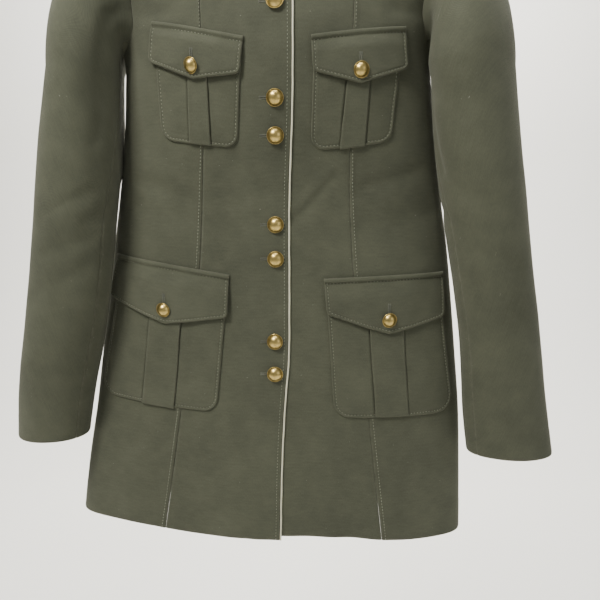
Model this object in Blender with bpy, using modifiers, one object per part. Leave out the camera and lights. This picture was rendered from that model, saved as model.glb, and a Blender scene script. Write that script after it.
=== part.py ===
"""Longline military jacket, buttoned up and hung on a plain hanger.

Metres, +Z up. The front faces -Y and the wearer's right side is at -X. The origin is the inside
top of the hanger's hook, so every height is negative. All cloth is one family of level sections:
each piece takes its points from the same sections, moved out by what it lies on.
"""

import math
from collections import namedtuple

import bmesh
import bpy
import numpy as np

NAME = "longline_military_jacket"

# Cloth and seams
WALL = 0.002
SEAM_GAP = 0.0003
UNDERARM_GAP = 0.0015
POCKET_CLOTH = 0.0018

# Shoulders, neck and armholes
SHOULDER_IN = (0.078, -0.095)
SHOULDER_TIP = (0.195, -0.140)
SHOULDER_ROLL = 0.080
NECK_FRONT_HEIGHT = -0.172
NECK_BACK_HEIGHT = -0.113
NECK_CURVE = 2.6
ARMPIT_HEIGHT = -0.300
SQUARENESS = 2.2
NECK_CROWDING = 1.5
COLLAR_HEIGHT = 0.036
COLLAR_DIP = 0.013
COLLAR_DIP_REACH = 0.022
COLLAR_LEAN = 0.22
COLLAR_HALF_GAP = 0.002
COLLAR_SEAT = 0.0005
COLLAR_CENTRE_Y = -0.006
BODY_ROWS = 16
ROW_REFERENCE_X = 0.300
ARMHOLE_ROWS = 8

# Front closure: the wearer's right front lies over the left one
OVERLAP_RISE = 0.0026
UNDERLAP_X = -0.018
RISE_FROM_X = -0.044
RISE_TO_X = -0.022
UNDER_HEM_LIFT = 0.004
PIPING_RADIUS = 0.0011
PIPING_TOP_X = 0.020

# Buttons
BUTTON_TOP_HEIGHT = -0.219
BUTTON_PAIR_PITCH = 0.136
BUTTON_PAIR_SPACING = 0.039
BUTTON_PAIRS = 4
BUTTON_LINE_TOP_X = 0.003
BUTTON_LINE_LOW_X = -0.002
BUTTON_LINE_LENGTH = 0.450
BUTTON_CLEARANCE = 0.0004
NORMAL_STEP = 0.004
BUTTON_STEPS = 16

# Hanger
HOOK_WIRE_RADIUS = 0.0018
HOOK_RADIUS = 0.020
HOOK_STEM_GAP = 0.004
BAR_RADIUS = 0.008
BAR_END_X = 0.176
BAR_ROUND_X = 0.120
BAR_CLEARANCE = 0.0006

TorsoRow = namedtuple("TorsoRow", "height right left front back")
TORSO = (
    TorsoRow(-0.060, 0.258, 0.258, 0.040, 0.036),
    TorsoRow(-0.100, 0.248, 0.248, 0.050, 0.044),
    TorsoRow(-0.140, 0.237, 0.236, 0.058, 0.052),
    TorsoRow(-0.172, 0.228, 0.225, 0.066, 0.058),
    TorsoRow(-0.210, 0.213, 0.209, 0.075, 0.066),
    TorsoRow(-0.250, 0.199, 0.194, 0.082, 0.070),
    TorsoRow(-0.300, 0.185, 0.178, 0.085, 0.070),
    TorsoRow(-0.340, 0.186, 0.180, 0.082, 0.066),
    TorsoRow(-0.400, 0.191, 0.1875, 0.073, 0.060),
    TorsoRow(-0.463, 0.200, 0.1955, 0.064, 0.054),
    TorsoRow(-0.520, 0.209, 0.2045, 0.0625, 0.052),
    TorsoRow(-0.575, 0.217, 0.211, 0.062, 0.052),
    TorsoRow(-0.650, 0.230, 0.219, 0.061, 0.052),
    TorsoRow(-0.720, 0.241, 0.226, 0.060, 0.051),
    TorsoRow(-0.800, 0.256, 0.230, 0.060, 0.050),
    TorsoRow(-0.890, 0.269, 0.233, 0.060, 0.050),
)

PrincessRow = namedtuple("PrincessRow", "height right left")
PRINCESS = (
    PrincessRow(-0.100, 0.097, 0.097),
    PrincessRow(-0.172, 0.084, 0.089),
    PrincessRow(-0.255, 0.079, 0.086),
    PrincessRow(-0.405, 0.081, 0.083),
    PrincessRow(-0.463, 0.085, 0.084),
    PrincessRow(-0.545, 0.091, 0.089),
    PrincessRow(-0.715, 0.118, 0.109),
    PrincessRow(-0.890, 0.146, 0.130),
)

EdgeRow = namedtuple("EdgeRow", "height x")
FRONT_EDGE = (
    EdgeRow(-0.160, 0.020),
    EdgeRow(-0.357, 0.020),
    EdgeRow(-0.463, 0.0155),
    EdgeRow(-0.578, 0.015),
    EdgeRow(-0.650, 0.014),
    EdgeRow(-0.699, 0.010),
    EdgeRow(-0.749, 0.007),
    EdgeRow(-0.890, 0.003),
)
ARMHOLE = (
    EdgeRow(-0.140, 0.195),
    EdgeRow(-0.158, 0.182),
    EdgeRow(-0.180, 0.171),
    EdgeRow(-0.210, 0.163),
    EdgeRow(-0.250, 0.161),
    EdgeRow(-0.285, 0.168),
)

HemRow = namedtuple("HemRow", "x height")
HEM = (
    HemRow(-0.300, -0.867),
    HemRow(-0.151, -0.871),
    HemRow(-0.088, -0.876),
    HemRow(0.000, -0.878),
    HemRow(0.106, -0.879),
    HemRow(0.152, -0.882),
    HemRow(0.300, -0.884),
)

SleeveRow = namedtuple("SleeveRow", "height out y half_width half_depth turn")
SLEEVES = {
    "right": (
        SleeveRow(-0.318, 0.2208, -0.044, 0.0385, 0.060, 6.0),
        SleeveRow(-0.418, 0.2311, -0.047, 0.0447, 0.058, 4.0),
        SleeveRow(-0.535, 0.2422, -0.056, 0.0470, 0.040, 4.0),
        SleeveRow(-0.628, 0.2620, -0.045, 0.0480, 0.041, 2.0),
        SleeveRow(-0.700, 0.2800, -0.035, 0.0462, 0.040, 0.0),
        SleeveRow(-0.757, 0.2905, -0.028, 0.0440, 0.038, 0.0),
    ),
    "left": (
        SleeveRow(-0.318, 0.2150, -0.048, 0.0460, 0.064, 26.0),
        SleeveRow(-0.418, 0.2285, -0.046, 0.0475, 0.058, 17.0),
        SleeveRow(-0.532, 0.2475, -0.042, 0.0465, 0.050, 8.0),
        SleeveRow(-0.628, 0.2642, -0.036, 0.0464, 0.043, 4.0),
        SleeveRow(-0.727, 0.2772, -0.032, 0.0503, 0.037, 0.0),
        SleeveRow(-0.768, 0.2840, -0.031, 0.0510, 0.034, 0.0),
    ),
}
SLEEVE_TWIST = 40.0
SLEEVE_TWIST_RUN = 0.20
SLEEVE_HIND_SHIFT = {"right": 0.018, "left": 0.0}
HIND_SHIFT_END = -0.515
HIND_SHIFT_RUN = 0.080
CAP_DROP = 0.12
CAP_SLOPE = 0.35
CAP_LEAVE_FRONT = 0.80
CAP_LEAVE_BACK = 0.45
CAP_START_PULL = 0.36
CAP_START_EASE = 0.06
CAP_END_PULL = 0.42
CAP_END_EASE = 0.12
FOREARM_SEAM = 147.0
HINDARM_SEAM = 246.0
SEAM_TURN = 0.3
TURN_STEP = 2.0

# Patch pockets: corners as (distance from the centre line, height) on the front's outer side
PocketRow = namedtuple(
    "PocketRow", "name side inner_top outer_top inner_low outer_low point inner_foot outer_foot corner pleat"
)
POCKETS = (
    PocketRow("chest_right", -1, (0.031, -0.293), (0.135, -0.270), (0.035, -0.331), (0.140, -0.313),
              (0.088, -0.335), (0.040, -0.407), (0.130, -0.396), 0.015, 0.024),
    PocketRow("chest_left", 1, (0.040, -0.292), (0.142, -0.278), (0.042, -0.329), (0.146, -0.322),
              (0.093, -0.341), (0.040, -0.410), (0.131, -0.399), 0.015, 0.026),
    PocketRow("lower_right", -1, (0.055, -0.549), (0.198, -0.527), (0.057, -0.599), (0.210, -0.579),
              (0.134, -0.608), (0.071, -0.716), (0.224, -0.703), 0.020, 0.041),
    PocketRow("lower_left", 1, (0.055, -0.553), (0.197, -0.547), (0.058, -0.594), (0.200, -0.600),
              (0.131, -0.618), (0.067, -0.720), (0.213, -0.720), 0.020, 0.041),
)
FLAP_CORNER = 0.010
FLAP_OVERHANG = 0.003
POCKET_TUCK = 0.45
PLEAT_RISE = 0.0022
PLEAT_STEP = 0.0005
POCKET_SEAT = 0.0007
FLAP_SEAT = 0.0007
FLAP_FULL = 0.28
FLAP_SIDE_RISE = 0.0032
FLAP_PLEAT_RISE = 0.0026
FLAP_PLEAT_MARGIN = 0.006
FLAP_PLEAT_BLEND = 0.22
FLAP_SAG = 0.0006
FLAP_BUTTON_RISE = {"chest": 0.014, "lower": 0.017}
FLAP_BUTTON_SHARE = {"chest": 0.50, "lower": 0.62}

# Largest folds: a line on one face from (x, height) to (x, height), its half width and its depth
FoldRow = namedtuple("FoldRow", "face start end width depth")
FOLDS = (
    FoldRow("front", (-0.040, -0.780), (-0.048, -0.890), 0.034, 0.0030),
    FoldRow("front", (0.185, -0.760), (0.200, -0.890), 0.030, -0.0030),
    FoldRow("front", (-0.200, -0.740), (-0.225, -0.890), 0.034, -0.0035),
    FoldRow("back", (-0.100, -0.560), (-0.120, -0.890), 0.045, 0.0060),
    FoldRow("back", (0.070, -0.600), (0.085, -0.890), 0.040, 0.0050),
    FoldRow("back", (0.000, -0.520), (0.000, -0.890), 0.040, -0.0040),
    FoldRow("back", (-0.150, -0.430), (-0.040, -0.470), 0.030, -0.0030),
    FoldRow("back", (0.150, -0.440), (0.050, -0.475), 0.030, -0.0028),
)

CLOTH_COLOUR = (0.090, 0.090, 0.066, 1.0)
BRASS_COLOUR = (0.480, 0.330, 0.090, 1.0)
CREAM_COLOUR = (0.850, 0.830, 0.640, 1.0)
WOOD_COLOUR = (0.500, 0.330, 0.180, 1.0)
STEEL_COLOUR = (0.620, 0.620, 0.600, 1.0)


def smooth(rows, field, at, key="height"):
    """A column of a table at any height, on one smooth curve through its rows."""
    rows = sorted(rows, key=lambda row: getattr(row, key))
    place = np.array([getattr(row, key) for row in rows])
    value = np.array([getattr(row, field) for row in rows])
    slope = np.gradient(value, place)
    at = np.asarray(at, float)
    k = np.clip(np.searchsorted(place, at) - 1, 0, len(rows) - 2)
    span = place[k + 1] - place[k]
    t = np.clip((at - place[k]) / span, 0.0, 1.0)
    near = (1 + 2 * t) * (1 - t) ** 2 * value[k] + t * (1 - t) ** 2 * span * slope[k]
    far = t * t * (3 - 2 * t) * value[k + 1] - t * t * (1 - t) * span * slope[k + 1]
    return near + far


def ease(t):
    """0 to 1 with level ends."""
    t = np.clip(t, 0.0, 1.0)
    return t * t * (3 - 2 * t)


def half_width(side, z):
    right = smooth(TORSO, "right", z)
    left = smooth(TORSO, "left", z)
    return np.where(np.asarray(side) < 0, right, left)


def shoulder_height(x):
    fall = (SHOULDER_TIP[1] - SHOULDER_IN[1]) / (SHOULDER_TIP[0] - SHOULDER_IN[0])
    return SHOULDER_IN[1] + (np.abs(x) - SHOULDER_IN[0]) * fall


def fold_depth(face, x, z):
    """How far the named folds push this face out of its plain section."""
    total = np.zeros(np.broadcast(x, z).shape)
    for fold in FOLDS:
        if fold.face != face:
            continue
        run = np.subtract(fold.end, fold.start)
        along = ((x - fold.start[0]) * run[0] + (z - fold.start[1]) * run[1]) / (run @ run)
        along = np.clip(along, 0.0, 1.0)
        away = np.hypot(x - fold.start[0] - along * run[0], z - fold.start[1] - along * run[1])
        total = total + fold.depth * np.exp(-((away / fold.width) ** 2))
    return total


def angle_at(x, z):
    """Turn from the centre line to a place on the section, 90 degrees at the side seam."""
    share = np.clip(np.abs(x) / half_width(np.sign(x), z), 0.0, 1.0)
    return np.sign(x) * np.arcsin(share ** (SQUARENESS / 2))


def torso_point(face, angle, z, out=0.0):
    """A point of the body's cloth, moved out from its outer side."""
    side = np.where(np.asarray(angle) < 0, -1, 1)
    sine = np.abs(np.sin(angle))
    cosine = np.maximum(np.cos(angle), 0.0)
    x = side * (half_width(side, z) + out) * sine ** (2 / SQUARENESS)
    depth = smooth(TORSO, face, z) + out
    drop = (shoulder_height(x) + out - z) / SHOULDER_ROLL
    roll = np.sqrt(np.maximum(0.0, 1 - (1 - np.clip(drop, 0.0, 1.0)) ** 2))
    depth = depth * cosine ** (2 / SQUARENESS) * roll
    depth = depth + fold_depth(face, x, z) * cosine * roll + SEAM_GAP / 2
    return np.stack(np.broadcast_arrays(x, depth if face == "back" else -depth, z), -1)


def front_point(x, z, out=0.0):
    """A point of the front at this distance from the centre plane, moved out from the outer side."""
    half = half_width(np.sign(x), z)
    return torso_point("front", angle_at(x * half / (half + out), z), z, out)


def overlap_rise(x):
    return OVERLAP_RISE * ease((x - RISE_FROM_X) / (RISE_TO_X - RISE_FROM_X))


def front_rise(x):
    """Lift of the front's outer side: the wearer's right one rides up over the underlap."""
    return np.where(np.asarray(x) < 0, overlap_rise(x), 0.0)


def neckline(x, face):
    low = NECK_FRONT_HEIGHT if face == "front" else NECK_BACK_HEIGHT
    share = np.clip(np.abs(x) / SHOULDER_IN[0], 0.0, 1.0)
    return low + (SHOULDER_IN[1] - low) * share ** NECK_CURVE


def top_height(x, face):
    """Where the cloth ends above: the neckline, then the shoulder seam."""
    inside = np.abs(x) < SHOULDER_IN[0]
    return np.where(inside, neckline(x, face), shoulder_height(x))


def hem_height(x):
    return smooth(HEM, "height", x, key="x")


def clear_scene():
    for obj in list(bpy.data.objects):
        bpy.data.objects.remove(obj, do_unlink=True)


def material(name, colour, roughness, metallic=0.0):
    made = bpy.data.materials.get(name) or bpy.data.materials.new(name)
    made.use_nodes = True
    shader = made.node_tree.nodes["Principled BSDF"]
    shader.inputs["Base Color"].default_value = colour
    shader.inputs["Roughness"].default_value = roughness
    shader.inputs["Metallic"].default_value = metallic
    return made


def cloth_material(name):
    return material(name + "_cloth", CLOTH_COLOUR, 0.85)


def wall_mesh(name, outer, inner):
    """One closed wall between two open grids of points, rows by columns."""
    rows, columns = outer.shape[:2]
    mesh = bmesh.new()
    skins = []
    for grid in (outer, inner):
        skins.append([[mesh.verts.new(point) for point in row] for row in grid])
    for row in range(rows - 1):
        for col in range(columns - 1):
            a, b = skins[0][row][col], skins[0][row][col + 1]
            c, d = skins[0][row + 1][col + 1], skins[0][row + 1][col]
            mesh.faces.new((a, b, c, d))
            a, b = skins[1][row][col], skins[1][row][col + 1]
            c, d = skins[1][row + 1][col + 1], skins[1][row + 1][col]
            mesh.faces.new((d, c, b, a))
    rim = [(0, col) for col in range(columns)]
    rim += [(row, columns - 1) for row in range(1, rows)]
    rim += [(rows - 1, col) for col in range(columns - 2, -1, -1)]
    rim += [(row, 0) for row in range(rows - 2, 0, -1)]
    for (r0, c0), (r1, c1) in zip(rim, rim[1:] + rim[:1]):
        mesh.faces.new((skins[0][r0][c0], skins[1][r0][c0], skins[1][r1][c1], skins[0][r1][c1]))
    bmesh.ops.triangulate(mesh, faces=mesh.faces[:])
    if mesh.calc_volume(signed=True) < 0:
        bmesh.ops.reverse_faces(mesh, faces=mesh.faces[:])
    data = bpy.data.meshes.new(name)
    mesh.to_mesh(data)
    mesh.free()
    data.shade_smooth()
    data.set_sharp_from_angle(angle=math.radians(40))
    return data


def add_part(name, data, finish, parts, location=None):
    obj = bpy.data.objects.new(name, data)
    data.materials.append(finish)
    if location is not None:
        obj.location = location
    parts.objects.link(obj)
    return obj


def row_shares(side):
    """Row places from the hem (0) to the top (1), the same on every panel so that seams match."""
    low = float(hem_height(side * ROW_REFERENCE_X))
    below = np.linspace(low, ARMPIT_HEIGHT, BODY_ROWS)
    turn = np.radians(np.linspace(0.0, 180.0, ARMHOLE_ROWS + 1)[1:])
    beside = ARMPIT_HEIGHT + (SHOULDER_TIP[1] - ARMPIT_HEIGHT) * (1 - np.cos(turn)) / 2
    heights = np.concatenate([below, beside])
    return (heights - low) / (SHOULDER_TIP[1] - low), heights


def front_centre(side, columns=9):
    """Centre front from the princess seam to the front edge or the underlap's edge."""
    shares, _ = row_shares(side)
    field = "right" if side < 0 else "left"
    # The neck point is the second column, so that the corner there stays sharp.
    seam_top = float(smooth(PRINCESS, field, SHOULDER_IN[1]))
    past_centre = float(FRONT_EDGE[0].x) if side < 0 else -UNDERLAP_X
    neck = (seam_top - SHOULDER_IN[0]) / (seam_top + past_centre)
    past_neck = np.linspace(0.0, 1.0, columns - 1) ** NECK_CROWDING
    across = np.concatenate([[0.0], neck + (1 - neck) * past_neck])[None, :]
    share = shares[:, None]
    z = np.full((len(shares), columns), ARMPIT_HEIGHT)
    for _ in range(12):
        seam = side * (smooth(PRINCESS, field, z) - SEAM_GAP / 2)
        edge = smooth(FRONT_EDGE, "x", z) - PIPING_RADIUS - SEAM_GAP if side < 0 else UNDERLAP_X
        x = seam + (edge - seam) * across
        low = hem_height(x) + (UNDER_HEM_LIFT * ease(across * 3) if side > 0 else 0.0)
        z = low + (top_height(x, "front") - low) * share
    angle = angle_at(x, z)
    lift = overlap_rise(x) if side < 0 else 0.0
    return torso_point("front", angle, z, lift), torso_point("front", angle, z, lift - WALL)


def top_columns(face, side, inner_x, columns):
    """Column places of a side panel and the height of each one's top, with one on the neck point."""
    def top_x(share):
        z = np.full(share.shape, SHOULDER_TIP[1])
        for _ in range(8):
            inside = np.abs(angle_at(side * inner_x, float(top_height(inner_x, face))))
            outside = np.abs(angle_at(side * SHOULDER_TIP[0], SHOULDER_TIP[1]))
            angle = inside + (outside - inside) * share
            x = half_width(side, z) * np.sin(angle) ** (2 / SQUARENESS)
            z = top_height(x, face)
        return x

    share = np.linspace(0.0, 1.0, columns)
    if inner_x < SHOULDER_IN[0]:
        dense = np.linspace(0.0, 1.0, 600)
        neck = np.interp(SHOULDER_IN[0], top_x(dense), dense)
        share[np.argmin(np.abs(share - neck))] = neck
    return share, top_height(top_x(share), face)


def side_panel(face, side, inner_edge, columns):
    """From a seam at inner_edge(z) out to the side seam and the armhole."""
    shares, outer_z = row_shares(side)
    across, column_top = top_columns(face, side, inner_edge(NECK_BACK_HEIGHT), columns)
    angles = np.empty((len(shares), columns))
    heights = np.empty((len(shares), columns))
    for row, share in enumerate(shares):
        z_in = ARMPIT_HEIGHT
        for _ in range(12):
            x_in = inner_edge(z_in)
            low = float(hem_height(side * x_in))
            z_in = low + (float(top_height(x_in, face)) - low) * share
        inside = float(np.abs(angle_at(side * x_in, z_in)))
        outside = math.pi / 2
        if outer_z[row] > ARMPIT_HEIGHT + 1e-9:
            outside = float(np.abs(angle_at(side * armhole_x(side, outer_z[row]), outer_z[row])))
        angles[row] = side * (inside + (outside - inside) * across)
        x = torso_point(face, angles[row], np.linspace(z_in, outer_z[row], columns))[:, 0]
        low = hem_height(x)
        heights[row] = low + (column_top - low) * share
        heights[row, 0] = z_in
        heights[row, -1] = outer_z[row]
    return torso_point(face, angles, heights), torso_point(face, angles, heights, -WALL)


def armhole_x(side, z):
    """Armhole's distance from the centre line, run into the side seam at the armpit."""
    rows = ARMHOLE + (EdgeRow(ARMPIT_HEIGHT, float(half_width(side, ARMPIT_HEIGHT))),)
    return smooth(rows, "x", z)


def armhole_loop(side, turn):
    """Points of the armhole from the shoulder (0) by the front (90) and armpit (180) to the back.

    They lie on straight lines between the panels' own points, so that the sleeve fits them.
    """
    node = np.linspace(0.0, 360.0, 2 * ARMHOLE_ROWS + 1)
    z = SHOULDER_TIP[1] + (ARMPIT_HEIGHT - SHOULDER_TIP[1]) * (1 - np.cos(np.radians(node))) / 2
    angle = angle_at(side * armhole_x(side, z), z)
    front = torso_point("front", angle, z)
    back = torso_point("back", angle, z)
    edge = np.where((node <= 180.0)[:, None], front, back)
    turn = np.asarray(turn, float) % 360.0
    return np.stack([np.interp(turn, node, edge[:, k]) for k in range(3)], -1)


def sleeve_ring(side, rows, z, turn, twist):
    """A level ring of a sleeve; turn 0 is its outer side and 90 its front."""
    local = np.radians(turn + twist * (1 - np.cos(np.radians(turn))) / 2)
    swing = np.radians(smooth(rows, "turn", z))
    wide = smooth(rows, "half_width", z) * np.cos(local)
    deep = smooth(rows, "half_depth", z) * np.sin(local)
    # The wearer's right sleeve is pushed in behind, where it hangs close by the body's side.
    wearer = "right" if side < 0 else "left"
    hind = SLEEVE_HIND_SHIFT[wearer] * np.maximum(-np.sin(local), 0.0) ** 3
    hind = hind * ease((z - HIND_SHIFT_END) / HIND_SHIFT_RUN)
    x = smooth(rows, "out", z) + wide * np.cos(swing) - deep * np.sin(swing) - hind
    y = smooth(rows, "y", z) - wide * np.sin(swing) - deep * np.cos(swing)
    return np.stack(np.broadcast_arrays(side * x, y, z), -1)


def sleeve_grid(side, turn, cap_rows=7, arm_rows=9):
    """Outer points of a sleeve from the armhole down to the cuff, one column at each turn."""
    rows = SLEEVES["right" if side < 0 else "left"]
    top = rows[0].height
    start = armhole_loop(side, turn)
    level = sleeve_ring(side, rows, np.full(len(turn), top), turn, SLEEVE_TWIST)
    radians = np.radians(turn)
    under = ((1 - np.cos(radians)) / 2) ** 3
    outside = ((1 + np.cos(radians)) / 2)[:, None]
    leave_depth = np.where(np.sin(radians) > 0, CAP_LEAVE_FRONT, CAP_LEAVE_BACK)
    leave = np.stack([
        side * (1.0 - 0.5 * under),
        -leave_depth * np.sin(radians),
        under - CAP_DROP - CAP_SLOPE * outside[:, 0],
    ], -1)
    leave /= np.linalg.norm(leave, axis=-1, keepdims=True)
    reach = np.linalg.norm(level - start, axis=-1, keepdims=True)
    first = start + leave * (2 * SEAM_GAP + UNDERARM_GAP * under[:, None])
    start_pull = (CAP_START_PULL - CAP_START_EASE * outside) * reach + WALL * under[:, None]
    second = first + leave * start_pull
    third = level + np.array([0.0, 0.0, 1.0]) * (CAP_END_PULL - CAP_END_EASE * outside) * reach
    grid = []
    for t in np.linspace(0.0, 1.0, cap_rows):
        grid.append((1 - t) ** 3 * first + 3 * t * (1 - t) ** 2 * second
                    + 3 * t * t * (1 - t) * third + t ** 3 * level)
    for z in np.linspace(top, rows[-1].height, arm_rows)[1:]:
        twist = SLEEVE_TWIST * (1 - ease((top - z) / SLEEVE_TWIST_RUN))
        grid.append(sleeve_ring(side, rows, np.full(len(turn), z), turn, twist))
    return np.array(grid)


def sleeve_piece(side, first_turn, last_turn, columns):
    """Outer and inner points of one sleeve piece between two lengthwise seams."""
    turn = np.linspace(first_turn + SEAM_TURN, last_turn - SEAM_TURN, columns)
    grid = sleeve_grid(side, turn)
    along = np.gradient(grid, axis=0)
    across = sleeve_grid(side, turn + TURN_STEP) - sleeve_grid(side, turn - TURN_STEP)
    normal = np.cross(across, along)
    normal /= np.linalg.norm(normal, axis=-1, keepdims=True)
    return grid, grid - normal * (WALL * side)


def neck_edge(panels, side):
    """Points of one side's neck edge from the front end round to the centre back."""
    wearer = "right" if side < 0 else "left"
    front = panels[f"front_{wearer}"][0][-1][1:][::-1]
    end_x = side * COLLAR_HALF_GAP
    end = [np.interp(side * end_x, side * front[:, 0], front[:, k]) for k in range(3)]
    front = front[side * front[:, 0] > COLLAR_HALF_GAP]
    back = panels[f"back_{wearer}"][0][-1]
    back = back[np.abs(back[:, 0]) < SHOULDER_IN[0] - 0.001][::-1]
    return np.concatenate([[end], front, back])


def collar_walls(panels, rows=4):
    """Stand collar on the panels' own neck edges, round the back from one front end to the other."""
    right = neck_edge(panels, -1)
    left = neck_edge(panels, 1)[::-1]
    base = np.concatenate([right[:-1], [(right[-1] + left[0]) / 2], left[1:]])
    inside = np.array([0.0, COLLAR_CENTRE_Y, 0.0]) - base
    inside[:, 2] = 0.0
    inside /= np.linalg.norm(inside, axis=1, keepdims=True)
    rise = np.array([0.0, 0.0, 1.0]) + inside * COLLAR_LEAN
    rise /= np.linalg.norm(rise, axis=1, keepdims=True)
    # The top edge runs level past the shoulder, where the neck edge below it has a corner.
    near_shoulder = np.exp(-((np.abs(base[:, 0]) - SHOULDER_IN[0]) / COLLAR_DIP_REACH) ** 2)
    height = COLLAR_HEIGHT - COLLAR_DIP * near_shoulder
    share = np.linspace(0.0, 1.0, rows)[:, None]
    steps = COLLAR_SEAT + (height - COLLAR_SEAT) * share
    outer = base[None] + rise[None] * steps[..., None]
    return outer, outer + inside[None] * WALL


def pocket_columns(row, width):
    """Column places across a pocket: corner arcs, pleat edges and a few between."""
    arc = row.corner * (1 - np.cos(np.radians([0.0, 30.0, 60.0, 90.0]))) / width
    half = row.pleat / 2 / width
    step = PLEAT_STEP / width
    edges = [0.5 - half - step, 0.5 - half + step, 0.5, 0.5 + half - step, 0.5 + half + step]
    left = list(arc) + [(arc[-1] + edges[0]) / 2]
    return np.array(left + edges + [1 - place for place in reversed(left)])


def corner_lift(distance, radius):
    """How far a rounded corner raises the lower edge this near the side."""
    inside = np.clip(radius - distance, 0.0, radius)
    return radius - np.sqrt(radius ** 2 - inside ** 2)


def between(first, last, share):
    return first + (last - first) * share


def pocket_walls(row, rows=6):
    """Patch pocket with one raised box pleat, its top hidden under the flap."""
    width = row.outer_foot[0] - row.inner_foot[0]
    across = pocket_columns(row, width)[None, :]
    down = np.linspace(0.0, 1.0, rows)[:, None]
    inner_x = between(row.inner_top[0] + FLAP_OVERHANG, row.inner_foot[0], down)
    outer_x = between(row.outer_top[0] - FLAP_OVERHANG, row.outer_foot[0], down)
    x = between(inner_x, outer_x, across)
    tuck_in = between(row.inner_top[1], row.inner_low[1], POCKET_TUCK)
    tuck_out = between(row.outer_top[1], row.outer_low[1], POCKET_TUCK)
    top = between(tuck_in, tuck_out, across)
    foot = between(row.inner_foot[1], row.outer_foot[1], across)
    foot = foot + corner_lift(np.minimum(across, 1 - across) * width, row.corner)
    z = between(top, foot, down)
    half = (row.pleat / 2) / width
    pleat = PLEAT_RISE * (np.abs(across - 0.5) < half)
    seat = POCKET_SEAT + front_rise(row.side * x)
    outer = front_point(row.side * x, z, seat + POCKET_CLOTH + pleat)
    return outer, front_point(row.side * x, z, seat)


def flap_lines(row, across):
    """Top and lower edge heights of a flap, and its two side lines, across its width."""
    width = row.outer_top[0] - row.inner_top[0]
    point = (row.point[0] - row.inner_low[0]) / (row.outer_low[0] - row.inner_low[0])
    to_point = between(row.inner_low[1], row.point[1], across / point)
    from_point = between(row.point[1], row.outer_low[1], (across - point) / (1 - point))
    low = np.where(across < point, to_point, from_point)
    low = low + corner_lift(np.minimum(across, 1 - across) * width, FLAP_CORNER)
    return between(row.inner_top[1], row.outer_top[1], across), low


def flap_rise(row, across, down):
    """Height of the flap's under side over the front: level on the pocket, higher on its pleat."""
    half = (row.pleat / 2 + FLAP_PLEAT_MARGIN) / (row.outer_top[0] - row.inner_top[0])
    over_pleat = 1 - ease((np.abs(across - 0.5) - half) / FLAP_PLEAT_BLEND)
    full = FLAP_SIDE_RISE + FLAP_PLEAT_RISE * over_pleat
    return FLAP_SEAT + (full - FLAP_SEAT) * ease(down / FLAP_FULL) + FLAP_SAG * down


def flap_walls(row, rows=6):
    width = row.outer_top[0] - row.inner_top[0]
    arc = FLAP_CORNER * (1 - np.cos(np.radians([0.0, 30.0, 60.0, 90.0]))) / width
    middle = np.linspace(arc[-1], 1 - arc[-1], 8)[1:-1]
    point = (row.point[0] - row.inner_low[0]) / (row.outer_low[0] - row.inner_low[0])
    middle[np.argmin(np.abs(middle - point))] = point
    across = np.concatenate([arc, middle, 1 - arc[::-1]])[None, :]
    down = np.linspace(0.0, 1.0, rows)[:, None]
    top, low = flap_lines(row, across)
    z = between(top, low, down)
    inner_x = between(row.inner_top[0], row.inner_low[0], down)
    outer_x = between(row.outer_top[0], row.outer_low[0], down)
    x = between(inner_x, outer_x, across)
    rise = flap_rise(row, across, down) + front_rise(row.side * x)
    return front_point(row.side * x, z, rise + POCKET_CLOTH), front_point(row.side * x, z, rise)


def surface_frame(x, z, out):
    """Place and outward direction of the front at one spot."""
    here = front_point(x, z, out)
    across = front_point(x + NORMAL_STEP, z, out) - front_point(x - NORMAL_STEP, z, out)
    up = front_point(x, z + NORMAL_STEP, out) - front_point(x, z - NORMAL_STEP, out)
    normal = np.cross(across, up)
    return here, normal / np.linalg.norm(normal)


def button_mesh():
    """Domed metal button with a flat rim and a short shank, turned on its own Z axis."""
    dome = 0.0072
    profile = [(0.0, 0.0079), (0.62 * dome, 0.0069), (0.96 * dome, 0.0042), (0.0074, 0.0030),
               (0.0098, 0.0028), (0.0100, 0.0021), (0.0026, 0.0015), (0.0026, 0.0), (0.0, 0.0)]
    data = bpy.data.meshes.new("button")
    points = [(radius, 0.0, height) for radius, height in profile]
    data.from_pydata(points, [(k, k + 1) for k in range(len(points) - 1)], [])
    return data


def add_button(name, data, x, z, out, tilt, finish, parts):
    """Sits a button on the cloth; tilt is degrees towards +X, then up."""
    place, normal = surface_frame(x, z, out + SEAM_GAP)
    obj = bpy.data.objects.new(name, data)
    obj.location = place
    yaw = math.atan2(normal[0], -normal[1]) + math.radians(tilt[0])
    pitch = math.asin(normal[2]) + math.radians(tilt[1])
    obj.rotation_euler = (math.pi / 2 - pitch, 0.0, yaw)
    screw = obj.modifiers.new("turned", "SCREW")
    screw.steps = BUTTON_STEPS
    screw.render_steps = BUTTON_STEPS
    screw.use_merge_vertices = True
    screw.merge_threshold = 1e-5
    if not data.materials:
        data.materials.append(finish)
    parts.objects.link(obj)
    return obj


def tube(name, points, radius, resolution, finish, parts):
    """A round bar, cord or wire along a list of points."""
    curve = bpy.data.curves.new(name, "CURVE")
    curve.dimensions = "3D"
    curve.bevel_depth = radius
    curve.bevel_resolution = resolution
    curve.use_fill_caps = True
    spline = curve.splines.new("POLY")
    spline.points.add(len(points) - 1)
    for spot, place in zip(spline.points, points):
        spot.co = (*place, 1.0)
    return add_part(name, curve, finish, parts)


def piping_points(count=42):
    heights = np.linspace(float(neckline(PIPING_TOP_X, "front")), float(hem_height(0.0)), count)
    x = smooth(FRONT_EDGE, "x", heights)
    return front_point(x, heights, OVERLAP_RISE - PIPING_RADIUS)


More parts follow.
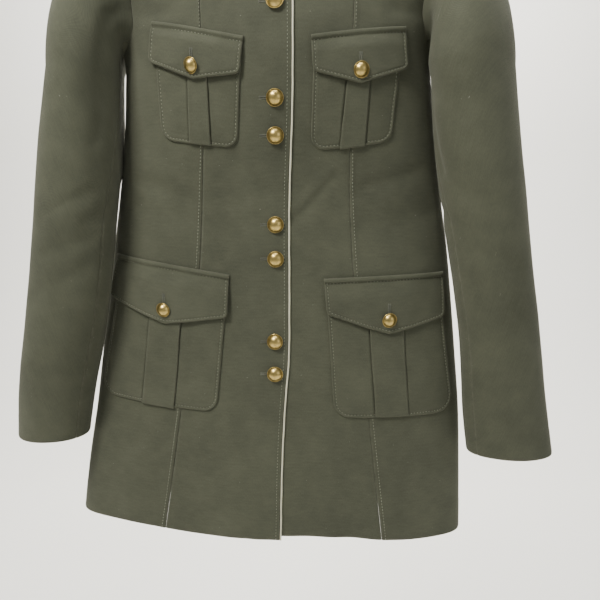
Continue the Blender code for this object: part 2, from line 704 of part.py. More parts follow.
def bar_height(x):
    """Top line of the hanger under the shoulder's inner side, rounded over between them."""
    fall = (SHOULDER_TIP[1] - SHOULDER_IN[1]) / (SHOULDER_TIP[0] - SHOULDER_IN[0])
    peak = shoulder_height(BAR_ROUND_X) - fall * (BAR_ROUND_X ** 2 - x ** 2) / (2 * BAR_ROUND_X)
    line = np.where(np.abs(x) < BAR_ROUND_X, peak, shoulder_height(x))
    return line - WALL - BAR_CLEARANCE


def hanger_bar_points(count=19):
    x = np.linspace(-BAR_END_X, BAR_END_X, count)
    slope = np.gradient(bar_height(x), x)
    lift = np.sqrt(1 + slope ** 2)
    return np.stack([x, np.zeros(count), bar_height(x) - BAR_RADIUS * lift], -1)


def hook_points():
    """Stem up from the bar, then three quarters of a circle over the rail."""
    radius = HOOK_RADIUS + HOOK_WIRE_RADIUS
    centre = -HOOK_RADIUS
    turns = np.radians(np.linspace(-90.0, 150.0, 25))
    bow = [(radius * math.cos(t), 0.0, centre + radius * math.sin(t)) for t in turns]
    foot = float(bar_height(0.0)) + SEAM_GAP
    stem = [(0.0, 0.0, z) for z in np.linspace(foot, centre - radius - HOOK_STEM_GAP, 4)]
    return stem + bow


def main():
    clear_scene()
    parts = bpy.data.collections.new(NAME)
    bpy.context.scene.collection.children.link(parts)

    panels = {}
    for side, wearer in ((-1, "right"), (1, "left")):
        def seam(z, wearer=wearer):
            return float(smooth(PRINCESS, wearer, z)) + SEAM_GAP / 2

        def centre_back(z):
            return SEAM_GAP / 2

        pieces = {
            f"front_{wearer}": front_centre(side),
            f"side_front_{wearer}": side_panel("front", side, seam, 9),
            f"back_{wearer}": side_panel("back", side, centre_back, 13),
            f"sleeve_upper_{wearer}": sleeve_piece(side, HINDARM_SEAM - 360.0, FOREARM_SEAM, 15),
            f"sleeve_under_{wearer}": sleeve_piece(side, FOREARM_SEAM, HINDARM_SEAM, 8),
        }
        panels.update(pieces)
        for name, (outer, inner) in pieces.items():
            add_part(name, wall_mesh(name, outer, inner), cloth_material(name), parts)

    collar = wall_mesh("collar", *collar_walls(panels))
    add_part("collar", collar, cloth_material("collar"), parts)

    brass = material("antique_brass", BRASS_COLOUR, 0.35, 1.0)
    button = button_mesh()
    for row in POCKETS:
        for kind, walls in (("pocket", pocket_walls(row)), ("flap", flap_walls(row))):
            name = f"{kind}_{row.name}"
            add_part(name, wall_mesh(name, *walls), cloth_material(name), parts)
        place = row.name.split("_")[0]
        z = row.point[1] + FLAP_BUTTON_RISE[place]
        rise = float(flap_rise(row, 0.5, FLAP_BUTTON_SHARE[place])) + POCKET_CLOTH + BUTTON_CLEARANCE
        add_button(f"button_{row.name}", button, row.side * row.point[0], z, rise, (0.0, 0.0), brass, parts)

    for pair in range(BUTTON_PAIRS):
        for place in range(2):
            z = BUTTON_TOP_HEIGHT - pair * BUTTON_PAIR_PITCH - place * BUTTON_PAIR_SPACING
            share = (BUTTON_TOP_HEIGHT - z) / BUTTON_LINE_LENGTH
            x = BUTTON_LINE_TOP_X + (BUTTON_LINE_LOW_X - BUTTON_LINE_TOP_X) * share
            name = f"button_front_{2 * pair + place + 1}"
            add_button(name, button, x, z, OVERLAP_RISE, (0.0, 0.0), brass, parts)

    cream = material("cream_piping", CREAM_COLOUR, 0.6)
    tube("piping_front", piping_points(), PIPING_RADIUS, 2, cream, parts)
    wood = material("pale_wood", WOOD_COLOUR, 0.5)
    tube("hanger_bar", hanger_bar_points(), BAR_RADIUS, 3, wood, parts)
    steel = material("bright_steel", STEEL_COLOUR, 0.25, 1.0)
    tube("hanger_hook", hook_points(), HOOK_WIRE_RADIUS, 2, steel, parts)


main()
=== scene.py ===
"""Looks of the longline military jacket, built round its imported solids.

Metres, +Z up, the front faces -Y and the origin is the inside top of the hanger's hook. The cloth is
one family of level sections, as in the part's source. Every panel, pocket, flap and stitch takes its
points from those sections, moved out by its own relief, so that what lies on a panel follows it.
"""
import math
from collections import namedtuple

import bpy
import numpy as np
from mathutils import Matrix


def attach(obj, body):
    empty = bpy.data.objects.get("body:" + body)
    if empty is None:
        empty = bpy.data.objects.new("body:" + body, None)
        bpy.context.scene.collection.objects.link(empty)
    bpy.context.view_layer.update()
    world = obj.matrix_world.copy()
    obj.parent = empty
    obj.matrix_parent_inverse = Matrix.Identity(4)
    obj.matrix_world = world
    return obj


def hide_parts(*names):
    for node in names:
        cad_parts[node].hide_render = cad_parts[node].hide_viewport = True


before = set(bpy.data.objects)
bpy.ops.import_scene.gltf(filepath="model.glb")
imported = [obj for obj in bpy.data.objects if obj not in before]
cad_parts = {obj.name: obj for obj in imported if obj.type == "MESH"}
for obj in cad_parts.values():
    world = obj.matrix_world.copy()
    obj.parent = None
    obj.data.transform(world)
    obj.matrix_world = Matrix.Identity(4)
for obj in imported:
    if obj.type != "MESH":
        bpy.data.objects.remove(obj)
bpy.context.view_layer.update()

MM = 0.001

# Cloth, seams and stitches
CLOTH_THICKNESS = 1.3 * MM
SEAM_GAP = 0.12 * MM
TOPSTITCH_IN = 3.4 * MM
SEAM_STITCH_IN = 4.9 * MM
STITCH_PITCH = 3.9 * MM
THREAD_RADIUS = 0.29 * MM
SEAM_THREAD_RADIUS = 0.34 * MM
HEM_TURN = 38 * MM
CUFF_TURN = 32 * MM
GROOVE_WIDTH = 0.8 * MM
HOLE_PITCH = 0.55 * MM

# Each thread's rings: place along it, height and thickness, as shares of its reach and radius
THREAD_STATIONS = (
    (-1.0, -1.15, 0.55), (-0.62, 0.25, 1.0), (0.0, 0.62, 1.08), (0.62, 0.25, 1.0), (1.0, -1.15, 0.55),
)

# Spacing of the meshes' points at the pieces' edges, and rounds that settle heights and places
EDGE_STEP = 0.9 * MM
PATCH_EDGE_STEP = 0.6 * MM
SETTLE_ROUNDS = 12
NORMAL_STEP = 0.004
ROW_REFERENCE_X = 0.3
TURN_STEP = 1.5
WEARER = {-1: "right", 1: "left"}

# Shoulders, neck and armholes
SHOULDER_IN = (0.078, -0.095)
SHOULDER_TIP = (0.195, -0.140)
SHOULDER_ROLL = 0.080
NECK_FRONT_HEIGHT = -0.172
NECK_BACK_HEIGHT = -0.113
NECK_CURVE = 2.6
ARMPIT_HEIGHT = -0.300
SQUARENESS = 2.2
COLLAR_HEIGHT = 0.036
COLLAR_DIP = 0.013
COLLAR_DIP_REACH = 0.022
COLLAR_LEAN = 0.22
COLLAR_HALF_GAP = 0.002
COLLAR_CENTRE_Y = -0.006
COLLAR_SEAM_GAP = 0.0002

# Front closure
OVERLAP_RISE = 0.0026
UNDERLAP_X = -0.018
RISE_FROM_X = -0.044
RISE_TO_X = -0.022
UNDER_HEM_LIFT = 0.004
PIPING_TOP_X = 0.020
PIPING_RADIUS = 1.15 * MM
PIPING_STITCH_IN = 5.0 * MM
BUTTON_TOP_HEIGHT = -0.219
BUTTON_PAIRS = 4
BUTTON_PAIR_PITCH = 0.136
BUTTON_PAIR_SPACING = 0.039
BUTTON_LINE_TOP_X = 0.003
BUTTON_LINE_LOW_X = -0.002
BUTTON_LINE_LENGTH = 0.45


def table(row, *values):
    """Rows with named columns, from plain ones."""
    return tuple(row(*value) for value in values)


TorsoRow = namedtuple("TorsoRow", "height right left front back")
TORSO = table(
    TorsoRow,
    (-0.06, 0.258, 0.258, 0.04, 0.036),
    (-0.1, 0.248, 0.248, 0.05, 0.044),
    (-0.14, 0.237, 0.236, 0.058, 0.052),
    (-0.172, 0.228, 0.225, 0.066, 0.058),
    (-0.21, 0.213, 0.209, 0.075, 0.066),
    (-0.25, 0.199, 0.194, 0.082, 0.07),
    (-0.3, 0.185, 0.178, 0.085, 0.07),
    (-0.34, 0.186, 0.18, 0.082, 0.066),
    (-0.4, 0.191, 0.1875, 0.073, 0.06),
    (-0.463, 0.2, 0.1955, 0.064, 0.054),
    (-0.52, 0.209, 0.2045, 0.0625, 0.052),
    (-0.575, 0.217, 0.211, 0.062, 0.052),
    (-0.65, 0.23, 0.219, 0.061, 0.052),
    (-0.72, 0.241, 0.226, 0.06, 0.051),
    (-0.8, 0.256, 0.23, 0.06, 0.05),
    (-0.89, 0.269, 0.233, 0.06, 0.05),
)

PrincessRow = namedtuple("PrincessRow", "height right left")
PRINCESS = table(
    PrincessRow,
    (-0.1, 0.097, 0.097),
    (-0.172, 0.084, 0.089),
    (-0.255, 0.079, 0.086),
    (-0.405, 0.081, 0.083),
    (-0.463, 0.085, 0.084),
    (-0.545, 0.091, 0.089),
    (-0.715, 0.118, 0.109),
    (-0.89, 0.146, 0.13),
)

EdgeRow = namedtuple("EdgeRow", "height x")
FRONT_EDGE = table(
    EdgeRow,
    (-0.16, 0.02),
    (-0.357, 0.02),
    (-0.463, 0.0155),
    (-0.578, 0.015),
    (-0.65, 0.014),
    (-0.699, 0.01),
    (-0.749, 0.007),
    (-0.89, 0.003),
)
ARMHOLE = table(
    EdgeRow,
    (-0.14, 0.195),
    (-0.158, 0.182),
    (-0.18, 0.171),
    (-0.21, 0.163),
    (-0.25, 0.161),
    (-0.285, 0.168),
)

HemRow = namedtuple("HemRow", "x height")
HEM = table(
    HemRow,
    (-0.3, -0.867),
    (-0.151, -0.871),
    (-0.088, -0.876),
    (0.0, -0.878),
    (0.106, -0.879),
    (0.152, -0.882),
    (0.3, -0.884),
)

SleeveRow = namedtuple("SleeveRow", "height out y half_width half_depth turn")
SLEEVES = {
    "right": table(
        SleeveRow,
        (-0.318, 0.2208, -0.044, 0.0385, 0.06, 6.0),
        (-0.418, 0.2311, -0.047, 0.0447, 0.058, 4.0),
        (-0.535, 0.2422, -0.056, 0.047, 0.04, 4.0),
        (-0.628, 0.262, -0.045, 0.048, 0.041, 2.0),
        (-0.7, 0.28, -0.035, 0.0462, 0.04, 0.0),
        (-0.757, 0.2905, -0.028, 0.044, 0.038, 0.0),
    ),
    "left": table(
        SleeveRow,
        (-0.318, 0.215, -0.048, 0.046, 0.064, 26.0),
        (-0.418, 0.2285, -0.046, 0.0475, 0.058, 17.0),
        (-0.532, 0.2475, -0.042, 0.0465, 0.05, 8.0),
        (-0.628, 0.2642, -0.036, 0.0464, 0.043, 4.0),
        (-0.727, 0.2772, -0.032, 0.0503, 0.037, 0.0),
        (-0.768, 0.284, -0.031, 0.051, 0.034, 0.0),
    ),
}
SLEEVE_TWIST = 40.0
SLEEVE_HIND_SHIFT = {"right": 0.018, "left": 0.0}
HIND_SHIFT_END = -0.515
HIND_SHIFT_RUN = 0.08
SLEEVE_TWIST_RUN = 0.2
CAP_DROP = 0.12
CAP_SLOPE = 0.35
CAP_LEAVE_FRONT = 0.8
CAP_LEAVE_BACK = 0.45
CAP_START_PULL = 0.36
CAP_START_EASE = 0.06
CAP_END_PULL = 0.42
CAP_END_EASE = 0.12
FOREARM_SEAM = 147.0
HINDARM_SEAM = 246.0
SEAM_TURN = 0.1
UNDERARM_GAP = 0.0015

# Patch pockets: corners as (distance from the centre line, height) on the front's outer side
PocketRow = namedtuple(
    "PocketRow", "name side inner_top outer_top inner_low outer_low point inner_foot outer_foot corner pleat"
)
POCKETS = table(
    PocketRow,
    ("chest_right", -1, (0.031, -0.293), (0.135, -0.27), (0.035, -0.331), (0.14, -0.313),
              (0.088, -0.335), (0.04, -0.407), (0.13, -0.396), 0.015, 0.024),
    ("chest_left", 1, (0.04, -0.292), (0.142, -0.278), (0.042, -0.329), (0.146, -0.322),
              (0.093, -0.341), (0.04, -0.41), (0.131, -0.399), 0.015, 0.026),
    ("lower_right", -1, (0.055, -0.549), (0.198, -0.527), (0.057, -0.599), (0.21, -0.579),
              (0.134, -0.608), (0.071, -0.716), (0.224, -0.703), 0.02, 0.041),
    ("lower_left", 1, (0.055, -0.553), (0.197, -0.547), (0.058, -0.594), (0.2, -0.6),
              (0.131, -0.618), (0.067, -0.72), (0.213, -0.72), 0.02, 0.041),
)
FlapSize = namedtuple("FlapSize", "bow button_rise hole_top")
FLAP_SIZES = {"chest": FlapSize(0.3 * MM, 0.014, 0.0165), "lower": FlapSize(0.7 * MM, 0.017, 0.018)}
FLAP_CORNER = 0.0055
FLAP_OVERHANG = 0.003
POCKET_TUCK = 0.45
WELT_HEIGHT = 5.6 * MM
POCKET_LEVEL = 2.1 * MM
PLEAT_LIFT = 1.7 * MM

# Largest folds, as in the solids: a line on one face, its half width and its depth
FoldRow = namedtuple("FoldRow", "start end width depth")
FOLDS = {
    "front": table(
        FoldRow,
        ((-0.04, -0.78), (-0.048, -0.89), 0.034, 0.003),
        ((0.185, -0.76), (0.2, -0.89), 0.03, -0.003),
        ((-0.2, -0.74), (-0.225, -0.89), 0.034, -0.0035),
    ),
    "back": table(
        FoldRow,
        ((-0.1, -0.56), (-0.12, -0.89), 0.045, 0.006),
        ((0.07, -0.6), (0.085, -0.89), 0.04, 0.005),
        ((0.0, -0.52), (0.0, -0.89), 0.04, -0.004),
        ((-0.15, -0.43), (-0.04, -0.47), 0.03, -0.003),
        ((0.15, -0.44), (0.05, -0.475), 0.03, -0.0028),
    ),
}

# Finer creases laid over them
CREASES = {
    "front": table(
        FoldRow,
        ((0.02, -0.488), (0.068, -0.435), 0.0065, -0.0022),
        ((0.03, -0.47), (0.072, -0.428), 0.009, 0.0017),
        ((-0.043, -0.416), (-0.012, -0.454), 0.008, -0.0017),
        ((-0.06, -0.425), (-0.03, -0.47), 0.012, 0.0015),
        ((-0.165, -0.44), (-0.1, -0.463), 0.01, -0.0019),
        ((-0.172, -0.468), (-0.112, -0.486), 0.012, -0.0015),
        ((0.16, -0.432), (0.098, -0.45), 0.01, -0.0019),
        ((0.176, -0.48), (0.108, -0.492), 0.013, -0.0015),
        ((-0.062, -0.42), (-0.06, -0.53), 0.016, -0.0013),
        ((0.058, -0.5), (0.052, -0.54), 0.012, -0.0011),
        ((-0.03, -0.7), (-0.026, -0.86), 0.017, -0.0017),
        ((0.06, -0.74), (0.07, -0.88), 0.02, 0.0019),
        ((0.04, -0.76), (0.036, -0.88), 0.016, -0.0013),
        ((-0.15, -0.262), (-0.118, -0.262), 0.008, -0.0015),
        ((-0.16, -0.235), (-0.11, -0.212), 0.011, 0.0019),
        ((0.156, -0.24), (0.112, -0.215), 0.011, 0.0019),
        ((0.158, -0.262), (0.128, -0.262), 0.008, -0.0015),
    ),
    "back": table(
        FoldRow,
        ((-0.15, -0.3), (-0.09, -0.23), 0.012, -0.0022),
        ((0.148, -0.3), (0.095, -0.235), 0.012, -0.0022),
        ((-0.17, -0.465), (-0.06, -0.492), 0.011, -0.002),
        ((0.165, -0.462), (0.072, -0.496), 0.011, -0.0018),
        ((-0.12, -0.508), (-0.03, -0.515), 0.009, -0.0013),
        ((0.02, -0.452), (0.11, -0.447), 0.01, -0.0013),
        ((-0.052, -0.62), (-0.06, -0.86), 0.018, -0.0017),
        ((0.14, -0.64), (0.16, -0.87), 0.02, -0.002),
        ((-0.17, -0.65), (-0.195, -0.87), 0.02, -0.002),
    ),
}

# Creases of each sleeve: a line from (turn in degrees, height) to (turn, height)
SLEEVE_CREASES = {
    "right": table(
        FoldRow,
        ((60.0, -0.2), (112.0, -0.345), 0.014, -0.0023),
        ((112.0, -0.262), (118.0, -0.4), 0.007, -0.0021),
        ((210.0, -0.285), (206.0, -0.42), 0.02, 0.0029),
        ((30.0, -0.215), (70.0, -0.33), 0.016, 0.0016),
        ((128.0, -0.452), (60.0, -0.482), 0.008, -0.0012),
        ((132.0, -0.505), (70.0, -0.52), 0.01, -0.0016),
        ((125.0, -0.54), (48.0, -0.575), 0.011, -0.0013),
        ((180.0, -0.47), (120.0, -0.49), 0.009, -0.0016),
        ((95.0, -0.62), (45.0, -0.66), 0.013, 0.001),
        ((-70.0, -0.5), (-10.0, -0.53), 0.012, -0.0016),
        ((-90.0, -0.56), (-25.0, -0.59), 0.013, -0.0013),
        ((-60.0, -0.22), (-100.0, -0.33), 0.015, -0.0021),
        ((110.0, -0.7), (55.0, -0.715), 0.009, -0.0008),
    ),
    "left": table(
        FoldRow,
        ((62.0, -0.205), (116.0, -0.35), 0.014, -0.0023),
        ((128.0, -0.27), (136.0, -0.43), 0.009, -0.0039),
        ((32.0, -0.21), (72.0, -0.335), 0.016, 0.0016),
        ((130.0, -0.446), (70.0, -0.47), 0.009, -0.0012),
        ((135.0, -0.512), (62.0, -0.536), 0.01, -0.0014),
        ((128.0, -0.556), (80.0, -0.566), 0.009, -0.001),
        ((120.0, -0.726), (78.0, -0.733), 0.005, -0.0009),
        ((112.0, -0.741), (60.0, -0.748), 0.005, -0.0008),
        ((95.0, -0.715), (60.0, -0.719), 0.0045, -0.0007),
        ((180.0, -0.474), (126.0, -0.496), 0.009, -0.0016),
        ((100.0, -0.6), (46.0, -0.652), 0.014, 0.0012),
        ((-72.0, -0.505), (-12.0, -0.532), 0.012, -0.0016),
        ((-88.0, -0.566), (-22.0, -0.592), 0.013, -0.0013),
        ((-62.0, -0.222), (-98.0, -0.334), 0.015, -0.0021),
    ),
}
METRES_PER_TURN = 0.0009


def smooth(rows, field, at, key="height"):
    """A column of a table at any height, on one smooth curve through its rows."""
    rows = sorted(rows, key=lambda row: getattr(row, key))
    place = np.array([getattr(row, key) for row in rows])
    value = np.array([getattr(row, field) for row in rows])
    slope = np.gradient(value, place)
    at = np.asarray(at, float)
    k = np.clip(np.searchsorted(place, at) - 1, 0, len(rows) - 2)
    span = place[k + 1] - place[k]
    t = np.clip((at - place[k]) / span, 0.0, 1.0)
    near = (1 + 2 * t) * (1 - t) ** 2 * value[k] + t * (1 - t) ** 2 * span * slope[k]
    far = t * t * (3 - 2 * t) * value[k + 1] - t * t * (1 - t) * span * slope[k + 1]
    return near + far


def ease(t):
    """0 to 1 with level ends."""
    t = np.clip(t, 0.0, 1.0)
    return t * t * (3 - 2 * t)


def hump(distance, width):
    return np.exp(-((distance / width) ** 2))


def between(first, last, share):
    return first + (last - first) * share


def unit(vectors):
    """The same vectors, each of length 1."""
    return vectors / np.maximum(np.linalg.norm(vectors, axis=-1, keepdims=True), 1e-12)


def passing(places, at):
    """Places whose nearest one is moved to a place that has to be among them."""
    places[np.argmin(np.abs(places - at))] = at
    return places


def lengths_along(line):
    """Distance of each point of a line from its first."""
    return np.concatenate([[0.0], np.cumsum(np.linalg.norm(np.diff(line, axis=0), axis=1))])


def at_lengths(at, length, line):
    """Points at some distances along a line."""
    return np.stack([np.interp(at, length, line[:, k]) for k in range(3)], -1)


def half_width(side, z):
    return np.where(np.asarray(side) < 0, smooth(TORSO, "right", z), smooth(TORSO, "left", z))


def shoulder_height(x):
    fall = (SHOULDER_TIP[1] - SHOULDER_IN[1]) / (SHOULDER_TIP[0] - SHOULDER_IN[0])
    return SHOULDER_IN[1] + (np.abs(x) - SHOULDER_IN[0]) * fall


def along_folds(folds, x, z):
    """How far a table of folds pushes a face out at each place."""
    total = np.zeros(np.broadcast(x, z).shape)
    for fold in folds:
        run = np.subtract(fold.end, fold.start)
        along = ((x - fold.start[0]) * run[0] + (z - fold.start[1]) * run[1]) / (run @ run)
        along = np.clip(along, 0.0, 1.0)
        away = np.hypot(x - fold.start[0] - along * run[0], z - fold.start[1] - along * run[1])
        total = total + fold.depth * hump(away, fold.width)
    return total


def slack(x, z, phase):
    """Soft unevenness of hanging cloth, well under a millimetre."""
    waves = (
        0.35 * np.sin(38 * x + 21 * z + phase) + 0.30 * np.sin(-27 * x + 44 * z + 1.7 * phase)
        + 0.20 * np.sin(83 * x - 35 * z + 2.3 * phase) + 0.15 * np.sin(61 * x + 97 * z + 0.6 * phase)
    )
    return 0.55 * MM * waves


def angle_at(x, z):
    """Turn from the centre line to a place on the section, 90 degrees at the side seam."""
    share = np.clip(np.abs(x) / half_width(np.sign(x), z), 0.0, 1.0)
    return np.sign(x) * np.arcsin(share ** (SQUARENESS / 2))


def torso_point(face, angle, z, out=0.0):
    """A point of the body's cloth, moved out from its outer side."""
    side = np.where(np.asarray(angle) < 0, -1, 1)
    sine = np.abs(np.sin(angle))
    cosine = np.maximum(np.cos(angle), 0.0)
    plain_x = side * half_width(side, z) * sine ** (2 / SQUARENESS)
    fine = along_folds(CREASES[face], plain_x, z) + slack(plain_x, z, 0.0 if face == "front" else 2.0)
    edge_fade = ease((0.985 - sine) / 0.10)
    out = out + fine * edge_fade
    x = side * (half_width(side, z) + out) * sine ** (2 / SQUARENESS)
    depth = smooth(TORSO, face, z) + out
    drop = (shoulder_height(x) + np.minimum(out, 0.0) - z) / SHOULDER_ROLL
    roll = np.sqrt(np.maximum(0.0, 1 - (1 - np.clip(drop, 0.0, 1.0)) ** 2))
    depth = depth * cosine ** (2 / SQUARENESS) * roll
    depth = depth + along_folds(FOLDS[face], x, z) * cosine * roll + SEAM_GAP / 2
    return np.stack(np.broadcast_arrays(x, depth if face == "back" else -depth, z), -1)


def overlap_rise(x):
    return OVERLAP_RISE * ease((x - RISE_FROM_X) / (RISE_TO_X - RISE_FROM_X))


def front_rise(x):
    """Lift of the front's outer side: the wearer's right one rides up over the underlap."""
    return np.where(np.asarray(x) < 0, overlap_rise(x), 0.0)


def front_point(x, z, out=0.0):
    x, z = np.broadcast_arrays(x, z)
    half = half_width(np.sign(x), z)
    return torso_point("front", angle_at(x * half / (half + out), z), z, out)


def front_normal(x, z):
    across = front_point(x + NORMAL_STEP, z) - front_point(x - NORMAL_STEP, z)
    up = front_point(x, z + NORMAL_STEP) - front_point(x, z - NORMAL_STEP)
    return unit(np.cross(across, up))


def neckline(x, face):
    low = NECK_FRONT_HEIGHT if face == "front" else NECK_BACK_HEIGHT
    share = np.clip(np.abs(x) / SHOULDER_IN[0], 0.0, 1.0)
    return low + (SHOULDER_IN[1] - low) * share ** NECK_CURVE


def top_height(x, face):
    """Where the cloth ends above: the neckline, then the shoulder seam."""
    inside = np.abs(x) < SHOULDER_IN[0]
    return np.where(inside, neckline(x, face), shoulder_height(x))


def hem_height(x):
    return smooth(HEM, "height", x, key="x")


def crowded(length, fine, coarse, reach, ends=(True, True)):
    """Shares from 0 to 1 along a length, close together near the named ends."""
    place = np.linspace(0.0, length, 2000)
    near_first = ease(place / reach) if ends[0] else 1.0
    near_last = ease((length - place) / reach) if ends[1] else 1.0
    spacing = fine + (coarse - fine) * near_first * near_last
    count = np.concatenate([[0.0], np.cumsum(np.diff(place) / spacing[1:])])
    steps = max(4, int(round(count[-1])))
    return np.interp(np.linspace(0.0, count[-1], steps + 1), count, place) / length


def panel_rows(side):
    """Row places from the hem (0) to the top (1), the same on every panel so that seams match."""
    low = float(hem_height(side * ROW_REFERENCE_X))
    body = ARMPIT_HEIGHT - low
    reach = SHOULDER_TIP[1] - ARMPIT_HEIGHT
    below = low + body * crowded(body, EDGE_STEP, 3.4 * MM, 12 * MM, (True, False))
    beside = ARMPIT_HEIGHT + reach * crowded(reach, EDGE_STEP, 3.2 * MM, 12 * MM)[1:]
    heights = np.concatenate([below, beside])
    return (heights - low) / (SHOULDER_TIP[1] - low), heights


def evened(values, heights, reach):
    """A row of values averaged with its neighbours over a height."""
    weight = hump(heights[:, None] - heights[None, :], reach) * np.gradient(heights)[None, :]
    return weight @ values / np.sum(weight, axis=1)


def armhole_x(side, z):
    """Armhole's distance from the centre line, run into the side seam at the armpit."""
    rows = ARMHOLE + (EdgeRow(ARMPIT_HEIGHT, float(half_width(side, ARMPIT_HEIGHT))),)
    return smooth(rows, "x", z)


def arc_lengths(grid):
    """Distance along each row from its first column, and up each column from its first row."""
    across = np.linalg.norm(np.diff(grid, axis=1), axis=-1)
    up = np.linalg.norm(np.diff(grid, axis=0), axis=-1)
    across = np.pad(np.cumsum(across, axis=1), ((0, 0), (1, 0)))
    up = np.pad(np.cumsum(up, axis=0), ((1, 0), (0, 0)))
    return across, up


def plain_seam(distance, _along=None):
    """A pressed seam: the edge rolls down into the join."""
    return -0.55 * MM * hump(distance, 1.3 * MM)


def stitched_seam(distance, along):
    """A seam with its allowance pressed to this side and stitched down, slightly puckered."""
    ridge = 0.55 * MM * ease(distance / (1.0 * MM)) * ease((8.5 * MM - distance) / (3.5 * MM))
    groove = -0.30 * MM * hump(distance - TOPSTITCH_IN, GROOVE_WIDTH)
    pucker = np.sin(along * 760 + 2.2 * np.sin(along * 61)) * hump(distance - TOPSTITCH_IN, 3.2 * MM)
    return ridge + groove + 0.10 * MM * pucker + plain_seam(distance)


def turned_hem(distance, depth):
    """Faint step where a turned-up hem ends inside, and a soft roll at its fold."""
    step = 0.22 * MM * ease((depth + 1.5 * MM - distance) / (3 * MM))
    return step - 0.5 * MM * hump(distance, 1.2 * MM)


def front_centre_grid(side):
    """Centre front from the princess seam to the front edge or the underlap's edge."""
    share = panel_rows(side)[0][:, None]
    wearer = WEARER[side]
    seam_top = float(smooth(PRINCESS, wearer, SHOULDER_IN[1]))
    past_centre = float(FRONT_EDGE[0].x) if side < 0 else -UNDERLAP_X
    neck = (seam_top - SHOULDER_IN[0]) / (seam_top + past_centre)
    places = passing(crowded(0.118, EDGE_STEP, 3.2 * MM, 14 * MM), neck)
    z = np.full((len(share), len(places)), ARMPIT_HEIGHT)
    for _ in range(SETTLE_ROUNDS):
        seam = side * (smooth(PRINCESS, wearer, z) - SEAM_GAP / 2)
        edge = smooth(FRONT_EDGE, "x", z) - PIPING_RADIUS * 0.8 if side < 0 else UNDERLAP_X
        x = between(seam, edge, places)
        low = hem_height(x) + (UNDER_HEM_LIFT * ease(places * 3) if side > 0 else 0.0)
        z = between(low, top_height(x, "front"), share)
    angle = angle_at(x, z)
    lift = overlap_rise(x) if side < 0 else 0.0
    across, up = arc_lengths(torso_point("front", angle, z, lift))
    from_edge = across[:, -1:] - across
    relief = plain_seam(across) + turned_hem(up, HEM_TURN)
    if side < 0:
        relief = relief + 0.35 * MM * ease((9 * MM - from_edge) / (3 * MM))
        relief = relief - 0.30 * MM * hump(from_edge - PIPING_STITCH_IN, GROOVE_WIDTH)
        relief = relief - 0.60 * MM * hump(from_edge, 0.9 * MM) + button_strain(x, z)
    return torso_point("front", angle, z, lift + relief)


def side_panel_grid(face, side, inner_edge, relief_of):
    """From a seam at inner_edge(z) out to the side seam and the armhole."""
    shares, outer_z = panel_rows(side)
    places = crowded(0.235 if face == "back" else 0.125, EDGE_STEP, 3.3 * MM, 14 * MM)

    def top_x(share):
        inner_x = float(inner_edge(NECK_BACK_HEIGHT))
        inside = np.abs(angle_at(side * inner_x, float(top_height(inner_x, face))))
        angle = between(inside, np.abs(angle_at(side * SHOULDER_TIP[0], SHOULDER_TIP[1])), share)
        z = SHOULDER_TIP[1]
        for _ in range(8):
            x = half_width(side, z) * np.sin(angle) ** (2 / SQUARENESS)
            z = top_height(x, face)
        return x

    if inner_edge(NECK_BACK_HEIGHT) < SHOULDER_IN[0]:
        dense = np.linspace(0.0, 1.0, 900)
        places = passing(places, np.interp(SHOULDER_IN[0], top_x(dense), dense))
    column_top = top_height(top_x(places), face)
    z_in = np.full(shares.shape, ARMPIT_HEIGHT)
    for _ in range(SETTLE_ROUNDS):
        x_in = inner_edge(z_in)
        z_in = between(hem_height(side * x_in), top_height(x_in, face), shares)
    inside = np.abs(angle_at(side * x_in, z_in))
    beside_arm = outer_z > ARMPIT_HEIGHT + 1e-9
    outside = np.where(beside_arm, np.abs(angle_at(side * armhole_x(side, outer_z), outer_z)), math.pi / 2)
    soft = evened(outside, outer_z, 0.030)
    soft = between(soft, outside, ease((outer_z - SHOULDER_TIP[1]) / 0.045 + 1))
    angles = between(inside[:, None], soft[:, None], places)
    angles = side * (angles + (outside - soft)[:, None] * places ** 7)
    guess = torso_point(face, angles, between(z_in[:, None], outer_z[:, None], places))[..., 0]
    heights = between(hem_height(guess), column_top, shares[:, None])
    heights[:, 0] = z_in
    heights[:, -1] = outer_z
    across, up = arc_lengths(torso_point(face, angles, heights))
    relief = relief_of(across, up) + plain_seam(across[:, -1:] - across)
    relief = relief + turned_hem(up, HEM_TURN) - 0.4 * MM * hump(up[-1:] - up, 1.3 * MM)
    return torso_point(face, angles, heights, relief)


def armhole_loop(side, turn):
    """Points of the armhole from the shoulder (0) by the front (90) and armpit (180) to the back."""
    turn = turn % 360.0
    z = between(SHOULDER_TIP[1], ARMPIT_HEIGHT, (1 - np.cos(np.radians(turn))) / 2)
    angle = angle_at(side * armhole_x(side, z), z)
    front, back = (torso_point(face, angle, z, -0.5 * MM) for face in ("front", "back"))
    return np.where((turn <= 180.0)[..., None], front, back)


def sleeve_ring(side, z, turn, twist):
    """A level ring of a sleeve; turn 0 is its outer side and 90 its front."""
    rows = SLEEVES[WEARER[side]]
    local = np.radians(turn + twist * (1 - np.cos(np.radians(turn))) / 2)
    swing = np.radians(smooth(rows, "turn", z))
    wide = smooth(rows, "half_width", z) * np.cos(local)
    deep = smooth(rows, "half_depth", z) * np.sin(local)
    hind = SLEEVE_HIND_SHIFT[WEARER[side]] * np.maximum(-np.sin(local), 0.0) ** 3
    hind = hind * ease((z - HIND_SHIFT_END) / HIND_SHIFT_RUN)
    x = smooth(rows, "out", z) + wide * np.cos(swing) - deep * np.sin(swing) - hind
    y = smooth(rows, "y", z) - wide * np.sin(swing) - deep * np.cos(swing)
    return np.stack(np.broadcast_arrays(side * x, y, z), -1)


